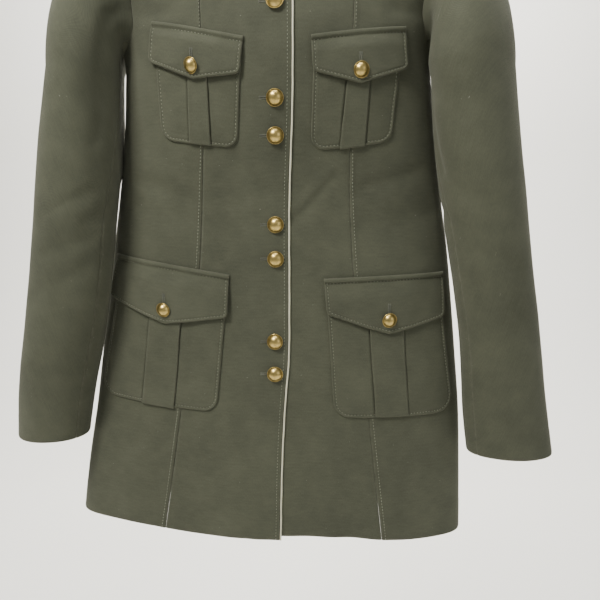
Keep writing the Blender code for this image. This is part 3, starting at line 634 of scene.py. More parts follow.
def sleeve_surface(side, turn):
    """Outer points of a sleeve from the armhole down to the cuff, one column at each turn."""
    top, foot = SLEEVES[WEARER[side]][0].height, SLEEVES[WEARER[side]][-1].height
    start = armhole_loop(side, turn)
    level = sleeve_ring(side, np.full(len(turn), top), turn, SLEEVE_TWIST)
    sine, cosine = np.sin(np.radians(turn)), np.cos(np.radians(turn))
    under = ((1 - cosine) / 2) ** 3
    outside = ((1 + cosine) / 2)[:, None]
    leave = unit(np.stack([
        side * (1.0 - 0.5 * under),
        -np.where(sine > 0, CAP_LEAVE_FRONT, CAP_LEAVE_BACK) * sine,
        -CAP_DROP - CAP_SLOPE * outside[:, 0] + under,
    ], -1))
    reach = np.linalg.norm(level - start, axis=-1, keepdims=True)
    first = start + leave * (SEAM_GAP + 0.3 * UNDERARM_GAP * under[:, None])
    second = first + leave * ((CAP_START_PULL - CAP_START_EASE * outside) * reach + 0.002 * under[:, None])
    third = level + np.array([0.0, 0.0, 1.0]) * (CAP_END_PULL - CAP_END_EASE * outside) * reach
    grid = []
    for t in crowded(0.16, 1.2 * MM, 5.5 * MM, 20 * MM, (True, False)):
        grid.append((1 - t) ** 3 * first + 3 * t * (1 - t) ** 2 * second
                    + 3 * t * t * (1 - t) * third + t ** 3 * level)
    length = top - foot
    for z in top - length * crowded(length, EDGE_STEP, 3.3 * MM, 12 * MM, (False, True))[1:]:
        twist = SLEEVE_TWIST * (1 - ease((top - z) / SLEEVE_TWIST_RUN))
        grid.append(sleeve_ring(side, np.full(len(turn), z), turn, twist))
    return np.array(grid)


def sleeve_grid(side, first_turn, last_turn):
    """One sleeve piece between two lengthwise seams, with its creases."""
    width = (last_turn - first_turn) * METRES_PER_TURN
    turn = between(first_turn, last_turn, crowded(width, EDGE_STEP, 3.0 * MM, 10 * MM))
    grid = sleeve_surface(side, turn)
    across = sleeve_surface(side, turn + TURN_STEP) - sleeve_surface(side, turn - TURN_STEP)
    normal = unit(np.cross(across, np.gradient(grid, axis=0)) * side)
    across, down = arc_lengths(grid)
    z = grid[..., 2]
    wound = np.where(turn > 200.0, turn - 360.0, turn)[None, :] * METRES_PER_TURN
    creases = [
        fold._replace(start=(fold.start[0] * METRES_PER_TURN, fold.start[1]),
                      end=(fold.end[0] * METRES_PER_TURN, fold.end[1]))
        for fold in SLEEVE_CREASES[WEARER[side]]
    ]
    relief = along_folds(creases, wound, z) + slack(wound * 1.3, z, 1.0 + side)
    relief = relief * ease(down / 0.02) + turned_hem(down[-1:] - down, CUFF_TURN)
    relief = relief + plain_seam(across) + plain_seam(across[:, -1:] - across)
    head = 0.9 * MM * ease(down / (2 * MM)) * ease((14 * MM - down) / (9 * MM))
    relief = relief + head * ease((np.cos(np.radians(turn)) + 0.6) / 0.8)
    return grid + normal * relief[..., None], normal


def button_places():
    """Centres of the eight front buttons, in four pairs down the front."""
    places = []
    for pair in range(BUTTON_PAIRS):
        for place in (0.0, BUTTON_PAIR_SPACING):
            drop = place + pair * BUTTON_PAIR_PITCH
            x = between(BUTTON_LINE_TOP_X, BUTTON_LINE_LOW_X, drop / BUTTON_LINE_LENGTH)
            places.append((x, BUTTON_TOP_HEIGHT - drop))
    return places


def button_strain(x, z):
    """Faint level creases running from each button across the right front."""
    relief = np.zeros(np.broadcast(x, z).shape)
    for count, (at_x, at_z) in enumerate(button_places()):
        away = ease((at_x - 0.008 - x) / 0.010) * ease((x - at_x + 0.034 + 0.004 * (count % 3)) / 0.020)
        drop = (at_x - x) * (0.10 - 0.07 * (count % 2))
        relief = relief - 0.40 * MM * away * hump(z - at_z + drop, 3.4 * MM)
        relief = relief + 0.22 * MM * away * hump(z - at_z + drop - 6.5 * MM, 3.0 * MM)
    return relief


def ring_quads(rows, steps):
    """Quads between rings of points, each ring closed on itself."""
    index = np.arange(rows * steps).reshape(rows, steps)
    after = np.roll(index, -1, axis=1)
    return np.stack([index[:-1], after[:-1], after[1:], index[1:]], -1).reshape(-1, 4)


def grid_quads(rows, columns, first=0, flip=False):
    index = first + np.arange(rows * columns).reshape(rows, columns)
    quads = np.stack([index[:-1, :-1], index[:-1, 1:], index[1:, 1:], index[1:, :-1]], -1).reshape(-1, 4)
    return quads[:, ::-1] if flip else quads


class Piece:
    """Closed shells and small parts gathered into one mesh, with cloth places and an edge wear value."""

    def __init__(self, name):
        self.name = name
        self.parts = []
        self.finishes = []
        self.count = 0

    def add(self, points, quads, finish, spots=None, wear=None):
        if finish not in self.finishes:
            self.finishes.append(finish)
        size = len(points)
        spots = np.zeros((size, 2)) if spots is None else spots
        wear = np.zeros(size) if wear is None else wear
        slots = np.full(len(quads), self.finishes.index(finish))
        self.parts.append((points, quads + self.count, spots, wear, slots))
        self.count += size

    def add_shell(self, outer, inner, finish, wear=None):
        """A closed sheet between two grids of points."""
        rows, columns = outer.shape[:2]
        size = rows * columns
        spots = np.stack(arc_lengths(outer), -1).reshape(-1, 2)
        if wear is None:
            wear = edge_wear(outer)
        ring = rim_of(rows, columns)
        after = np.roll(ring, -1)
        rim = np.stack([ring, after, after + size, ring + size], -1)
        quads = np.concatenate([
            grid_quads(rows, columns), grid_quads(rows, columns, size, flip=True), rim[:, ::-1],
        ])
        points = np.concatenate([outer.reshape(-1, 3), inner.reshape(-1, 3)])
        normal = np.cross(outer[0, 1] - outer[0, 0], outer[1, 0] - outer[0, 0])
        if normal @ (inner[0, 0] - outer[0, 0]) > 0:
            quads = quads[:, ::-1]
        self.add(points, quads, finish, np.concatenate([spots, spots]), np.tile(wear.reshape(-1), 2))

    def build(self, has_solid=True):
        """Makes the object, which replaces the solid of its name when it has one."""
        points, quads, spots, wear, slots = (np.concatenate(part) for part in zip(*self.parts))
        data = bpy.data.meshes.new(f"look_{self.name}")
        data.vertices.add(len(points))
        data.vertices.foreach_set("co", points.astype(np.float32).ravel())
        data.loops.add(quads.size)
        data.loops.foreach_set("vertex_index", quads.astype(np.int32).ravel())
        data.polygons.add(len(quads))
        data.polygons.foreach_set("loop_start", np.arange(0, quads.size, 4, dtype=np.int32))
        data.polygons.foreach_set("material_index", slots.astype(np.int32))
        data.update(calc_edges=True)
        data.shade_smooth()
        layer = data.uv_layers.new(name="cloth")
        layer.uv.foreach_set("vector", spots[quads.ravel()].astype(np.float32).ravel())
        layer = data.attributes.new("wear", "FLOAT", "POINT")
        layer.data.foreach_set("value", wear.astype(np.float32))
        for finish in self.finishes:
            data.materials.append(finish)
        obj = bpy.data.objects.new(data.name, data)
        bpy.context.scene.collection.objects.link(obj)
        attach(obj, "root")
        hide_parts(*([self.name] if has_solid else []))


def rim_of(rows, columns):
    """Vertex numbers round the edge of a grid, in order."""
    index = np.arange(rows * columns).reshape(rows, columns)
    return np.concatenate([index[0], index[1:, -1], index[-1, :-1][::-1], index[1:-1, 0][::-1]])


def edge_wear(grid):
    """1 on the very edge of a piece, falling off within a few millimetres."""
    across, up = arc_lengths(grid)
    near = np.minimum(np.minimum(across, across[:, -1:] - across), np.minimum(up, up[-1:] - up))
    return hump(near, 1.6 * MM)


def line_in_grid(grid, distance, from_last=False):
    """The line that runs up a panel at one distance from its first or last column."""
    across, _ = arc_lengths(grid)
    at = across[:, -1] - distance if from_last else np.full(len(grid), distance)
    return np.array([at_lengths(place, length, row) for place, length, row in zip(at, across, grid)])


def row_line(grid, distance, from_last=False):
    """The line that runs across a panel at one distance from its first or last row."""
    return line_in_grid(np.swapaxes(grid, 0, 1), distance, from_last)


def even_stations(line, pitch):
    """Points at even distances along a line, and the directions there."""
    length = lengths_along(line)
    count = max(1, int(length[-1] / pitch))
    at = (np.arange(count) + 0.5) * length[-1] / count
    ahead, behind = (at_lengths(at + step, length, line) for step in (pitch * 0.3, -pitch * 0.3))
    return at_lengths(at, length, line), unit(ahead - behind)


def add_threads(piece, places, along, normals, finish, length=2.3 * MM, radius=THREAD_RADIUS, seed=1):
    """Short arched threads, each dipping into the cloth at both ends."""
    if not len(places):
        return
    rng = np.random.default_rng(seed)
    normals = unit(normals - along * np.sum(normals * along, axis=1, keepdims=True))
    side = np.cross(along, normals)
    along = along + side * (rng.normal(0.0, 0.035, (len(places), 1)) + 0.05)
    reach = length / 2 * (1 + rng.normal(0.0, 0.05, len(places)))
    rings = []
    for at, rise, girth in THREAD_STATIONS:
        centre = places + along * (reach * at)[:, None] + normals * (rise * radius)
        for turn in np.radians(np.arange(4) * 90.0 + 45.0):
            wide = girth * radius
            rings.append(centre + side * (wide * math.cos(turn)) + normals * (wide * math.sin(turn)))
    size = len(rings)
    caps = [[0, 1, 2, 3], [size - 1, size - 2, size - 3, size - 4]]
    quads = np.concatenate([caps, ring_quads(len(THREAD_STATIONS), 4)[:, ::-1]])
    every = quads[None] + size * np.arange(len(places))[:, None, None]
    piece.add(np.stack(rings, 1).reshape(-1, 3), every.reshape(-1, 4), finish)


def add_seam_stitches(piece, line, normals_at, finish, skip=None, pitch=STITCH_PITCH, **thread):
    """A line of stitches; skip says at which places they lie hidden."""
    places, along = even_stations(line, pitch)
    if skip is not None:
        keep = ~skip(places)
        places, along = places[keep], along[keep]
    add_threads(piece, places, along, normals_at(places), finish, **thread)


def nearest_normals(grid, normals):
    """A function that gives the cloth's direction near any places."""
    flat = grid.reshape(-1, 3)
    directions = normals.reshape(-1, 3)

    def at(places):
        found = np.empty((len(places), 3))
        for start in range(0, len(places), 64):
            block = places[start:start + 64]
            found[start:start + 64] = directions[
                np.argmin(np.sum((flat[None] - block[:, None]) ** 2, -1), axis=1)
            ]
        return found

    return at


def under_pocket(places):
    """Which places on the front lie beneath a pocket or its flap."""
    hidden = np.zeros(len(places), bool)
    x, z = places[:, 0], places[:, 2]
    for row in POCKETS:
        away = row.side * x
        inner = np.interp(z, [row.inner_foot[1], row.inner_low[1], row.inner_top[1]],
                          [row.inner_foot[0], row.inner_low[0], row.inner_top[0]])
        outer = np.interp(z, [row.outer_foot[1], row.outer_low[1], row.outer_top[1]],
                          [row.outer_foot[0], row.outer_low[0], row.outer_top[0]])
        top = between(row.inner_top[1], row.outer_top[1], (away - inner) / (outer - inner))
        low = between(row.inner_foot[1], row.outer_foot[1], (away - inner) / (outer - inner))
        hidden |= (away > inner) & (away < outer) & (z < top + 0.001) & (z > low - 0.001)
    return hidden


def corner_lift(distance, radius):
    """How far a rounded corner raises the lower edge this near the side."""
    inside = np.clip(radius - distance, 0.0, radius)
    return radius - np.sqrt(radius ** 2 - inside ** 2)


def patch_distance(outline, x, z):
    """Distance in the front's plane from each place to a closed outline."""
    run = np.roll(outline, -1, axis=0) - outline
    square = np.maximum(np.sum(run * run, axis=1), 1e-18)
    best = np.full(x.shape, 1.0)
    for point, step, size in zip(outline, run, square):
        t = np.clip(((x - point[0]) * step[0] + (z - point[1]) * step[1]) / size, 0.0, 1.0)
        best = np.minimum(best, np.hypot(x - point[0] - t * step[0], z - point[1] - t * step[1]))
    return best


def grid_outline(x, z):
    """Outline of a patch from the edge of its grid, thinned to a point every millimetre or so."""
    ring = rim_of(*x.shape)
    loop = np.stack([x.reshape(-1)[ring], z.reshape(-1)[ring]], -1)
    keep = [0]
    for k in range(1, len(loop)):
        if np.hypot(*(loop[k] - loop[keep[-1]])) > 1.0 * MM:
            keep.append(k)
    return loop[keep]


def inset_line(outline, distance):
    """The outline moved in by one distance, without loops at its corners."""
    run = unit(np.roll(outline, -1, axis=0) - np.roll(outline, 1, axis=0))
    inward = np.stack([-run[:, 1], run[:, 0]], -1)
    area = np.sum(outline[:, 0] * np.roll(outline[:, 1], -1) - outline[:, 1] * np.roll(outline[:, 0], -1))
    moved = outline + inward * distance * np.sign(area)
    return moved[patch_distance(outline, moved[:, 0], moved[:, 1]) > distance * 0.97]


def pocket_grid(row):
    """Places (x, z) of a patch pocket from its foot up to the top hidden by the flap."""
    width = row.outer_foot[0] - row.inner_foot[0]
    height = row.inner_top[1] - row.inner_foot[1]
    across = crowded(width, PATCH_EDGE_STEP, 1.7 * MM, 9 * MM)[None, :]
    down = crowded(height, PATCH_EDGE_STEP, 1.9 * MM, 9 * MM, (False, True))[:, None]
    inner_x = between(row.inner_top[0] + FLAP_OVERHANG, row.inner_foot[0], down)
    outer_x = between(row.outer_top[0] - FLAP_OVERHANG, row.outer_foot[0], down)
    x = between(inner_x, outer_x, across)
    tuck_in = between(row.inner_top[1], row.inner_low[1], POCKET_TUCK)
    tuck_out = between(row.outer_top[1], row.outer_low[1], POCKET_TUCK)
    top = between(tuck_in, tuck_out, across)
    foot = between(row.inner_foot[1], row.outer_foot[1], across)
    foot = foot + corner_lift(np.minimum(across, 1 - across) * width, row.corner)
    foot = foot - 0.0012 * np.sin(math.pi * across)
    return row.side * x, between(top, foot, down)


# Box pleats: near and far side from the centre line at the top and at the foot, with the foot's height
PleatRow = namedtuple("PleatRow", "near_top far_top near_foot far_foot foot")
PLEATS = {
    "chest_right": PleatRow(0.0725, 0.0945, 0.0705, 0.0960, -0.4030),
    "chest_left": PleatRow(0.0775, 0.1030, 0.0720, 0.1000, -0.4070),
    "lower_right": PleatRow(0.1140, 0.1545, 0.1270, 0.1690, -0.7120),
    "lower_left": PleatRow(0.1095, 0.1500, 0.1175, 0.1580, -0.7205),
}


def pleat_sides(row, z):
    """Near and far side of a pleat at any height."""
    pleat = PLEATS[row.name]
    top = row.point[1]
    share = (top - z) / (top - pleat.foot)
    return between(pleat.near_top, pleat.near_foot, share), between(pleat.far_top, pleat.far_foot, share)


def border_profile(distance, height):
    """Height of a patch over its seat: rolled edge, thin ridge, stitch groove, then level."""
    roll = -0.75 * MM * (1 - ease(distance / (0.9 * MM)))
    ridge = 0.45 * MM * hump(distance - 1.6 * MM, 0.9 * MM)
    groove = -0.75 * MM * hump(distance - TOPSTITCH_IN, 0.75 * MM)
    return height + roll + ridge + groove


def pocket_puff(row, x, z):
    """Soft fullness of a pocket, with a little pucker beside its stitched border."""
    middle = np.abs(row.side * x - (row.inner_foot[0] + row.outer_foot[0]) / 2)
    half = (row.outer_foot[0] - row.inner_foot[0]) / 2
    rise = ease((z - row.inner_foot[1]) / 0.020) * ease((half - middle) / 0.018)
    uneven = 0.4 * np.sin(150 * x + 60 * z + row.side) + 0.3 * np.sin(-90 * x + 170 * z + 2 * row.side)
    return (0.7 + 0.5 * uneven) * MM * rise


def pocket_level(row, outline, x, z):
    """Height of a pocket's cloth over the front."""
    distance = patch_distance(outline, x, z)
    pucker = 0.13 * MM * np.sin(720 * (x + z)) * hump(distance - TOPSTITCH_IN, 2.6 * MM)
    near, far = pleat_sides(row, z)
    in_pleat = np.minimum(row.side * x - near, far - row.side * x)
    hollow = -1.4 * MM * ease((in_pleat + 1.4 * MM) / (1.2 * MM)) * ease((distance - 1.2 * MM) / (1.2 * MM))
    lip = 0.35 * MM * hump(in_pleat + 2.2 * MM, 1.2 * MM) * ease((distance - 4 * MM) / (3 * MM))
    return border_profile(distance, POCKET_LEVEL) + pucker + pocket_puff(row, x, z) * 0.8 + hollow + lip


def pleat_band(row):
    """Outer and inner points of the raised band of a box pleat."""
    pleat = PLEATS[row.name]
    width = pleat.far_foot - pleat.near_foot
    top = row.point[1] + 0.016
    across = crowded(width, 0.5 * MM, 2.2 * MM, 4 * MM)[None, :]
    down = crowded(top - pleat.foot, 0.6 * MM, 2.4 * MM, 5 * MM, (False, True))[:, None]
    z = between(top, pleat.foot, down)
    near, far = pleat_sides(row, z)
    swing = 0.5 * MM * np.sin(55 * z + row.side * 2)
    x = between(near + swing, far + swing * 0.4, across)
    slope = (row.outer_foot[1] - row.inner_foot[1]) / (row.outer_foot[0] - row.inner_foot[0])
    z = z + slope * (x - (pleat.near_foot + pleat.far_foot) / 2) * down
    edge = np.minimum(np.minimum(across, 1 - across) * width, (1 - down) * (top - pleat.foot))
    puff = pocket_puff(row, row.side * x, z)
    lift = POCKET_LEVEL + PLEAT_LIFT + puff - 0.7 * MM * (1 - ease(edge / (0.9 * MM)))
    lift = lift + 0.22 * MM * hump(edge - 1.6 * MM, 1.1 * MM)
    lift = lift - 0.60 * MM * hump((1 - down) * (top - pleat.foot) - 3.6 * MM, 0.8 * MM)
    sag = 0.25 * MM * np.sin(140 * z + 3 * row.side) * np.sin(math.pi * across)
    rise = front_rise(row.side * x)
    outer = front_point(row.side * x, z, rise + lift + sag)
    return outer, front_point(row.side * x, z, rise + lift - 1.5 * MM + sag * 0.5), edge + 0 * x


def flap_size(row):
    return FLAP_SIZES[row.name.split("_")[0]]


def flap_top(row, away):
    share = (away - row.inner_top[0]) / (row.outer_top[0] - row.inner_top[0])
    return between(row.inner_top[1], row.outer_top[1], share)


def flap_low(row, away):
    """Lower edge of a flap: two nearly straight lines that meet at its point."""

    def line(first, last):
        share = (away - first[0]) / (last[0] - first[0])
        bow = flap_size(row).bow * np.sin(math.pi * np.clip(share, 0.0, 1.0))
        return between(first[1], last[1], share) - bow

    return np.where(away < row.point[0], line(row.inner_low, row.point), line(row.point, row.outer_low))


def flap_grid(row):
    """Places (x, z) of a flap, from its top edge down to the pointed lower one."""
    width = row.outer_top[0] - row.inner_top[0]
    height = row.inner_top[1] - row.point[1]
    point = (row.point[0] - row.inner_low[0]) / (row.outer_low[0] - row.inner_low[0])
    across = passing(crowded(width, PATCH_EDGE_STEP, 1.6 * MM, 8 * MM), point)
    down = crowded(height, PATCH_EDGE_STEP, 1.4 * MM, 7 * MM)[:, None]
    x = between(between(row.inner_top[0], row.inner_low[0], down),
                between(row.outer_top[0], row.outer_low[0], down), across)
    low = flap_low(row, between(row.inner_low[0], row.outer_low[0], across))
    low = low + corner_lift(np.minimum(across, 1 - across) * width, FLAP_CORNER)
    return row.side * x, between(flap_top(row, x), low, down)


def flap_seat(row, x, z):
    """Height of a flap's under side over the front: sewn down above, then over pocket and pleat."""
    away = row.side * x
    depth = (flap_top(row, away) - z) / (row.inner_top[1] - row.point[1])
    near, far = pleat_sides(row, z)
    beyond = np.maximum(near - away, away - far)
    over_pleat = 1 - ease((beyond - 2 * MM) / 0.024)
    full = POCKET_LEVEL + 1.5 * MM + PLEAT_LIFT * over_pleat
    return 0.3 * MM + full * ease(depth / 0.42) + 0.9 * MM * ease((depth - 0.4) / 0.6)


def flap_level(row, outline, x, z):
    """Height of a flap's cloth over the front: a rounded welt, then the stitched border."""
    below_top = flap_top(row, row.side * x) - z
    distance = patch_distance(outline, x, z)
    ridge = 0.40 * MM * hump(distance - 1.6 * MM, 0.9 * MM)
    ridge = ridge - 0.75 * MM * hump(distance - TOPSTITCH_IN, 0.75 * MM)
    border = ridge * ease((below_top - 6 * MM) / (2 * MM)) - 0.75 * MM * (1 - ease(distance / (0.9 * MM)))
    half = WELT_HEIGHT / 2
    round_top = np.sqrt(np.clip(1 - ((below_top - half) / half) ** 2, 0.0, 1.0))
    welt = 1.9 * MM * round_top * (below_top < WELT_HEIGHT)
    welt = welt - 0.8 * MM * hump(below_top - WELT_HEIGHT - 0.5 * MM, 0.8 * MM)
    uneven = 0.25 * MM * np.sin(120 * x + 90 * z + row.side) * ease((below_top - 8 * MM) / (6 * MM))
    button_x, button_z = flap_button(row)
    dimple = -0.9 * MM * hump(np.hypot(x - button_x, z - button_z), 0.011)
    return flap_seat(row, x, z) + 1.8 * MM + border + welt + uneven + dimple


def flap_button(row):
    """Place (x, z) of the button on a flap."""
    return row.side * row.point[0], row.point[1] + flap_size(row).button_rise


def turned(profile, steps=64):
    """Points and quads of a shape turned round Z from (radius, height) pairs, closed on the axis."""
    turns = np.linspace(0.0, 2 * math.pi, steps, endpoint=False)
    rings = [np.stack([r * np.cos(turns), r * np.sin(turns), np.full(steps, h)], -1) for r, h in profile]
    return np.concatenate(rings), ring_quads(len(profile), steps)


def button_profile():
    """Profile of a domed button: dome, a groove, a beaded rim turned under, and a short shank."""
    dome = [(0.00002, 0.00790)]
    last = math.radians(62)
    for share in np.linspace(0.06, 1.0, 14):
        turn = share * last
        rise = (math.cos(turn) - math.cos(last)) / (1 - math.cos(last))
        dome.append((0.0087 * math.sin(turn) / math.sin(last), 0.0031 + 0.0048 * rise))
    rim = [(0.00875, 0.00275), (0.0089, 0.00255), (0.0091, 0.00258), (0.0093, 0.00280), (0.0096, 0.00300),
           (0.0099, 0.00296), (0.0101, 0.00275), (0.0101, 0.00245), (0.0099, 0.00210), (0.0093, 0.00190),
           (0.0060, 0.00185), (0.0028, 0.00160), (0.0026, 0.00130), (0.0026, 0.00010), (0.0022, 0.00002),
           (0.00002, 0.00002)]
    return dome + rim


def add_button(name, place, out, tilt, finish, width=1.0):
    """Sits a button on the cloth; tilt is degrees towards +X, then up, and width a share of its full size."""
    normal = front_normal(*place)
    points, quads = turned(button_profile())
    yaw = math.atan2(normal[0], -normal[1]) + math.radians(tilt[0])
    pitch = math.asin(normal[2]) + math.radians(tilt[1])
    outward = np.array([math.cos(pitch) * math.sin(yaw), -math.cos(pitch) * math.cos(yaw), math.sin(pitch)])
    across = unit(np.cross([0.0, 0.0, 1.0], outward))
    axes = np.stack([across, np.cross(outward, across), outward], 0)
    piece = Piece(name)
    piece.add((points * [width, width, 1.0]) @ axes + front_point(*place, out), quads, finish)
    piece.build()


def tube_points(path, radius, steps):
    """Rings of points along a path, and their quads, with both ends rounded over."""
    along = unit(np.gradient(path, axis=0))
    radii = np.broadcast_to(radius, (len(path),)).astype(float)
    turn = np.radians([2.0, 20.0, 40.0, 60.0, 78.0])
    first = path[0] - along[0] * radii[0] * np.cos(turn)[:, None]
    last = path[-1] + along[-1] * radii[-1] * np.cos(turn[::-1])[:, None]
    places = np.concatenate([first, path, last])
    heading = np.concatenate([np.tile(along[0], (5, 1)), along, np.tile(along[-1], (5, 1))])
    sizes = np.concatenate([radii[0] * np.sin(turn), radii, radii[-1] * np.sin(turn[::-1])])
    side = unit(np.cross(heading, [0.0, 1.0, 0.0]))
    up = np.cross(side, heading)
    turns = np.linspace(0.0, 2 * math.pi, steps, endpoint=False)
    ring = side[:, None] * np.cos(turns)[:, None] + up[:, None] * np.sin(turns)[:, None]
    points = places[:, None] + ring * sizes[:, None, None]
    index = np.arange(len(places) * steps).reshape(-1, steps)
    ends = []
    for k in range(steps // 2 - 1):
        for row, step in ((index[0], -1), (index[-1], 1)):
            ends.append([row[k], row[k + 1], row[-2 - k], row[-1 - k]][::step])
    spots = np.stack(np.broadcast_arrays(turns * radii.mean(), lengths_along(places)[:, None]), -1)
    return points.reshape(-1, 3), np.concatenate([ring_quads(len(places), steps), ends]), spots.reshape(-1, 2)


def add_tube(name, path, radius, finish, steps=16):
    points, quads, spots = tube_points(path, radius, steps)
    piece = Piece(name)
    piece.add(points, quads, finish, spots)
    piece.build()


class Graph:
    """A node material written as short calls."""

    def __init__(self, name):
        self.material = bpy.data.materials.new(name)
        self.material.use_nodes = True
        self.tree = self.material.node_tree
        self.solid = self.add("ShaderNodeTexCoord").outputs["Object"]

    def put(self, socket, value):
        if isinstance(value, bpy.types.NodeSocket):
            self.tree.links.new(value, socket)
        elif isinstance(value, tuple) and len(value) == 3 and socket.type == "RGBA":
            socket.default_value = (*value, 1.0)
        else:
            socket.default_value = value

    def add(self, kind, inputs=(), **settings):
        node = self.tree.nodes.new(kind)
        for name, value in settings.items():
            setattr(node, name, value)
        for name, value in dict(inputs).items():
            self.put(node.inputs[name], value)
        return node

    def cloth(self):
        return self.add("ShaderNodeUVMap", uv_map="cloth").outputs["UV"]

    def math(self, operation, *values, clamp=False):
        inputs = dict(enumerate(values))
        return self.add("ShaderNodeMath", inputs, operation=operation, use_clamp=clamp).outputs[0]

    def times(self, first, second):
        return self.math("MULTIPLY", first, second)

    def total(self, *values, clamp=False):
        result = values[0]
        for value in values[1:]:
            result = self.math("ADD", result, value, clamp=clamp)
        return result

    def wave(self, turn):
        """A sine, from 0 to 1."""
        return self.math("MULTIPLY_ADD", self.math("SINE", turn), 0.5, 0.5)

    def vector(self, operation, first, second):
        node = self.add("ShaderNodeVectorMath", {0: first}, operation=operation)
        self.put(node.inputs["Scale" if operation == "SCALE" else 1], second)
        return node.outputs["Vector"]

    def noise(self, place, scale, detail=2.0, roughness=0.5, stretch=None):
        if stretch:
            place = self.vector("MULTIPLY", place, stretch)
        inputs = {"Vector": place, "Scale": scale, "Detail": detail, "Roughness": roughness}
        return self.add("ShaderNodeTexNoise", inputs).outputs["Fac"]

    def fit(self, value, low, high, to_low=0.0, to_high=1.0):
        inputs = {"Value": value, "From Min": low, "From Max": high, "To Min": to_low, "To Max": to_high}
        return self.add("ShaderNodeMapRange", inputs).outputs["Result"]

    def mix(self, share, first, second):
        return self.add("ShaderNodeMix", {0: share, 6: first, 7: second}, data_type="RGBA").outputs[2]

    def bump(self, height, distance, strength, under=None):
        node = self.add("ShaderNodeBump", {"Height": height, "Distance": distance, "Strength": strength})
        if under is not None:
            self.put(node.inputs["Normal"], under)
        return node.outputs["Normal"]

    def finish(self, colour, roughness, normal, others=()):
        """Sets the shader's sockets and gives the material."""
        values = {"Base Color": colour, "Roughness": roughness, "Normal": normal, **dict(others)}
        for name, value in values.items():
            self.put(self.tree.nodes["Principled BSDF"].inputs[name], value)
        return self.material


CLOTH_DARK = (0.054, 0.057, 0.038)
CLOTH_PALE = (0.165, 0.163, 0.120)
CLOTH_MIDDLE = (0.119, 0.124, 0.083)
LINT_COLOUR = (0.42, 0.42, 0.36)
THREAD_COLOUR = (0.380, 0.395, 0.290)
HOLE_THREAD_COLOUR = (0.150, 0.158, 0.112)
PIPING_COLOUR = (0.930, 0.910, 0.690)


def twill_material():
    """Drab olive cotton twill: fine diagonal wales, uneven yarn, soft fading and a worn edge."""
    graph = Graph("twill")
    place = graph.cloth()
    wobble = graph.add("ShaderNodeTexNoise", {"Vector": place, "Scale": 90.0}).outputs["Color"]
    woven = graph.vector("ADD", place, graph.vector("SCALE", wobble, 0.0009))
    x, y, _ = graph.add("ShaderNodeSeparateXYZ", {0: woven}).outputs
    wale = graph.wave(graph.total(graph.times(x, 8200.0), graph.times(y, 5200.0)))
    weft = graph.wave(graph.times(y, 15000.0))
    yarn = graph.noise(place, 1.0, 3.0, 0.6, stretch=(1400.0, 380.0, 1.0))
    slub = graph.noise(place, 1.0, stretch=(60.0, 420.0, 1.0))
    fade = graph.noise(graph.solid, 9.0, 3.0, 0.55)
    patch = graph.noise(graph.solid, 42.0, 4.0, 0.6)
    wear = graph.add("ShaderNodeAttribute", attribute_name="wear").outputs["Fac"]

    tone = graph.total(
        graph.fit(fade, 0.3, 0.7, -0.16, 0.16), graph.fit(patch, 0.3, 0.7, -0.13, 0.13),
        graph.fit(yarn, 0.25, 0.75, -0.22, 0.22), graph.fit(slub, 0.3, 0.7, -0.08, 0.08),
        graph.fit(wale, 0.0, 1.0, -0.10, 0.06),
    )
    colour = graph.mix(graph.total(tone, 0.5, clamp=True), CLOTH_DARK, CLOTH_MIDDLE)
    rub = graph.times(wear, graph.fit(graph.noise(graph.solid, 160.0, 3.0), 0.35, 0.65, 0.00, 0.32))
    colour = graph.mix(rub, colour, CLOTH_PALE)
    lint = graph.fit(graph.noise(place, 1.0, 1.0, stretch=(240.0, 520.0, 1.0)), 0.795, 0.815)
    colour = graph.mix(graph.times(lint, 0.55), colour, LINT_COLOUR)

    height = graph.total(graph.times(wale, 0.6), graph.times(weft, 0.15), graph.times(yarn, 0.5))
    normal = graph.bump(patch, 0.0016, 0.35, graph.bump(height, 0.00016, 0.8))
    return graph.finish(colour, 0.86, normal, {
        "IOR": 1.42, "Specular IOR Level": 0.28,
        "Sheen Weight": 0.16, "Sheen Roughness": 0.55, "Sheen Tint": (0.75, 0.75, 0.62),
    })


def thread_material(name, colour):
    """Twisted cotton sewing thread."""
    graph = Graph(name)
    inputs = {"Vector": graph.solid, "Scale": 900.0, "Distortion": 2.0}
    ply = graph.add("ShaderNodeTexWave", inputs).outputs["Fac"]
    dark = tuple(channel * 0.62 for channel in colour)
    tone = graph.mix(graph.fit(graph.noise(graph.solid, 140.0), 0.3, 0.7), dark, colour)
    return graph.finish(tone, 0.62, graph.bump(ply, 0.00006, 0.7), {"Sheen Weight": 0.2})


def piping_material():
    """Cream cord piping, a tightly covered cord a little soiled in places, with painted shade in the valleys
    between its ribs.
    """
    graph = Graph("cream_piping")
    x, y, _ = graph.add("ShaderNodeSeparateXYZ", {0: graph.cloth()}).outputs
    rib = graph.wave(graph.total(graph.times(x, 5200.0), graph.times(y, 6400.0)))
    soil = graph.noise(graph.solid, 60.0, 4.0, 0.6)
    colour = graph.mix(graph.fit(soil, 0.35, 0.75, 0.0, 0.7), PIPING_COLOUR, (0.700, 0.660, 0.470))
    # Painted shade: the cream is darkened in the valleys between the ribs, following the low parts of the rib
    # bump.
    hollow = graph.times(graph.math("SUBTRACT", 1.0, rib), 0.25)
    colour = graph.mix(hollow, colour, (0.62, 0.59, 0.42))
    return graph.finish(colour, 0.66, graph.bump(rib, 0.00014, 0.8), {"Sheen Weight": 0.1})


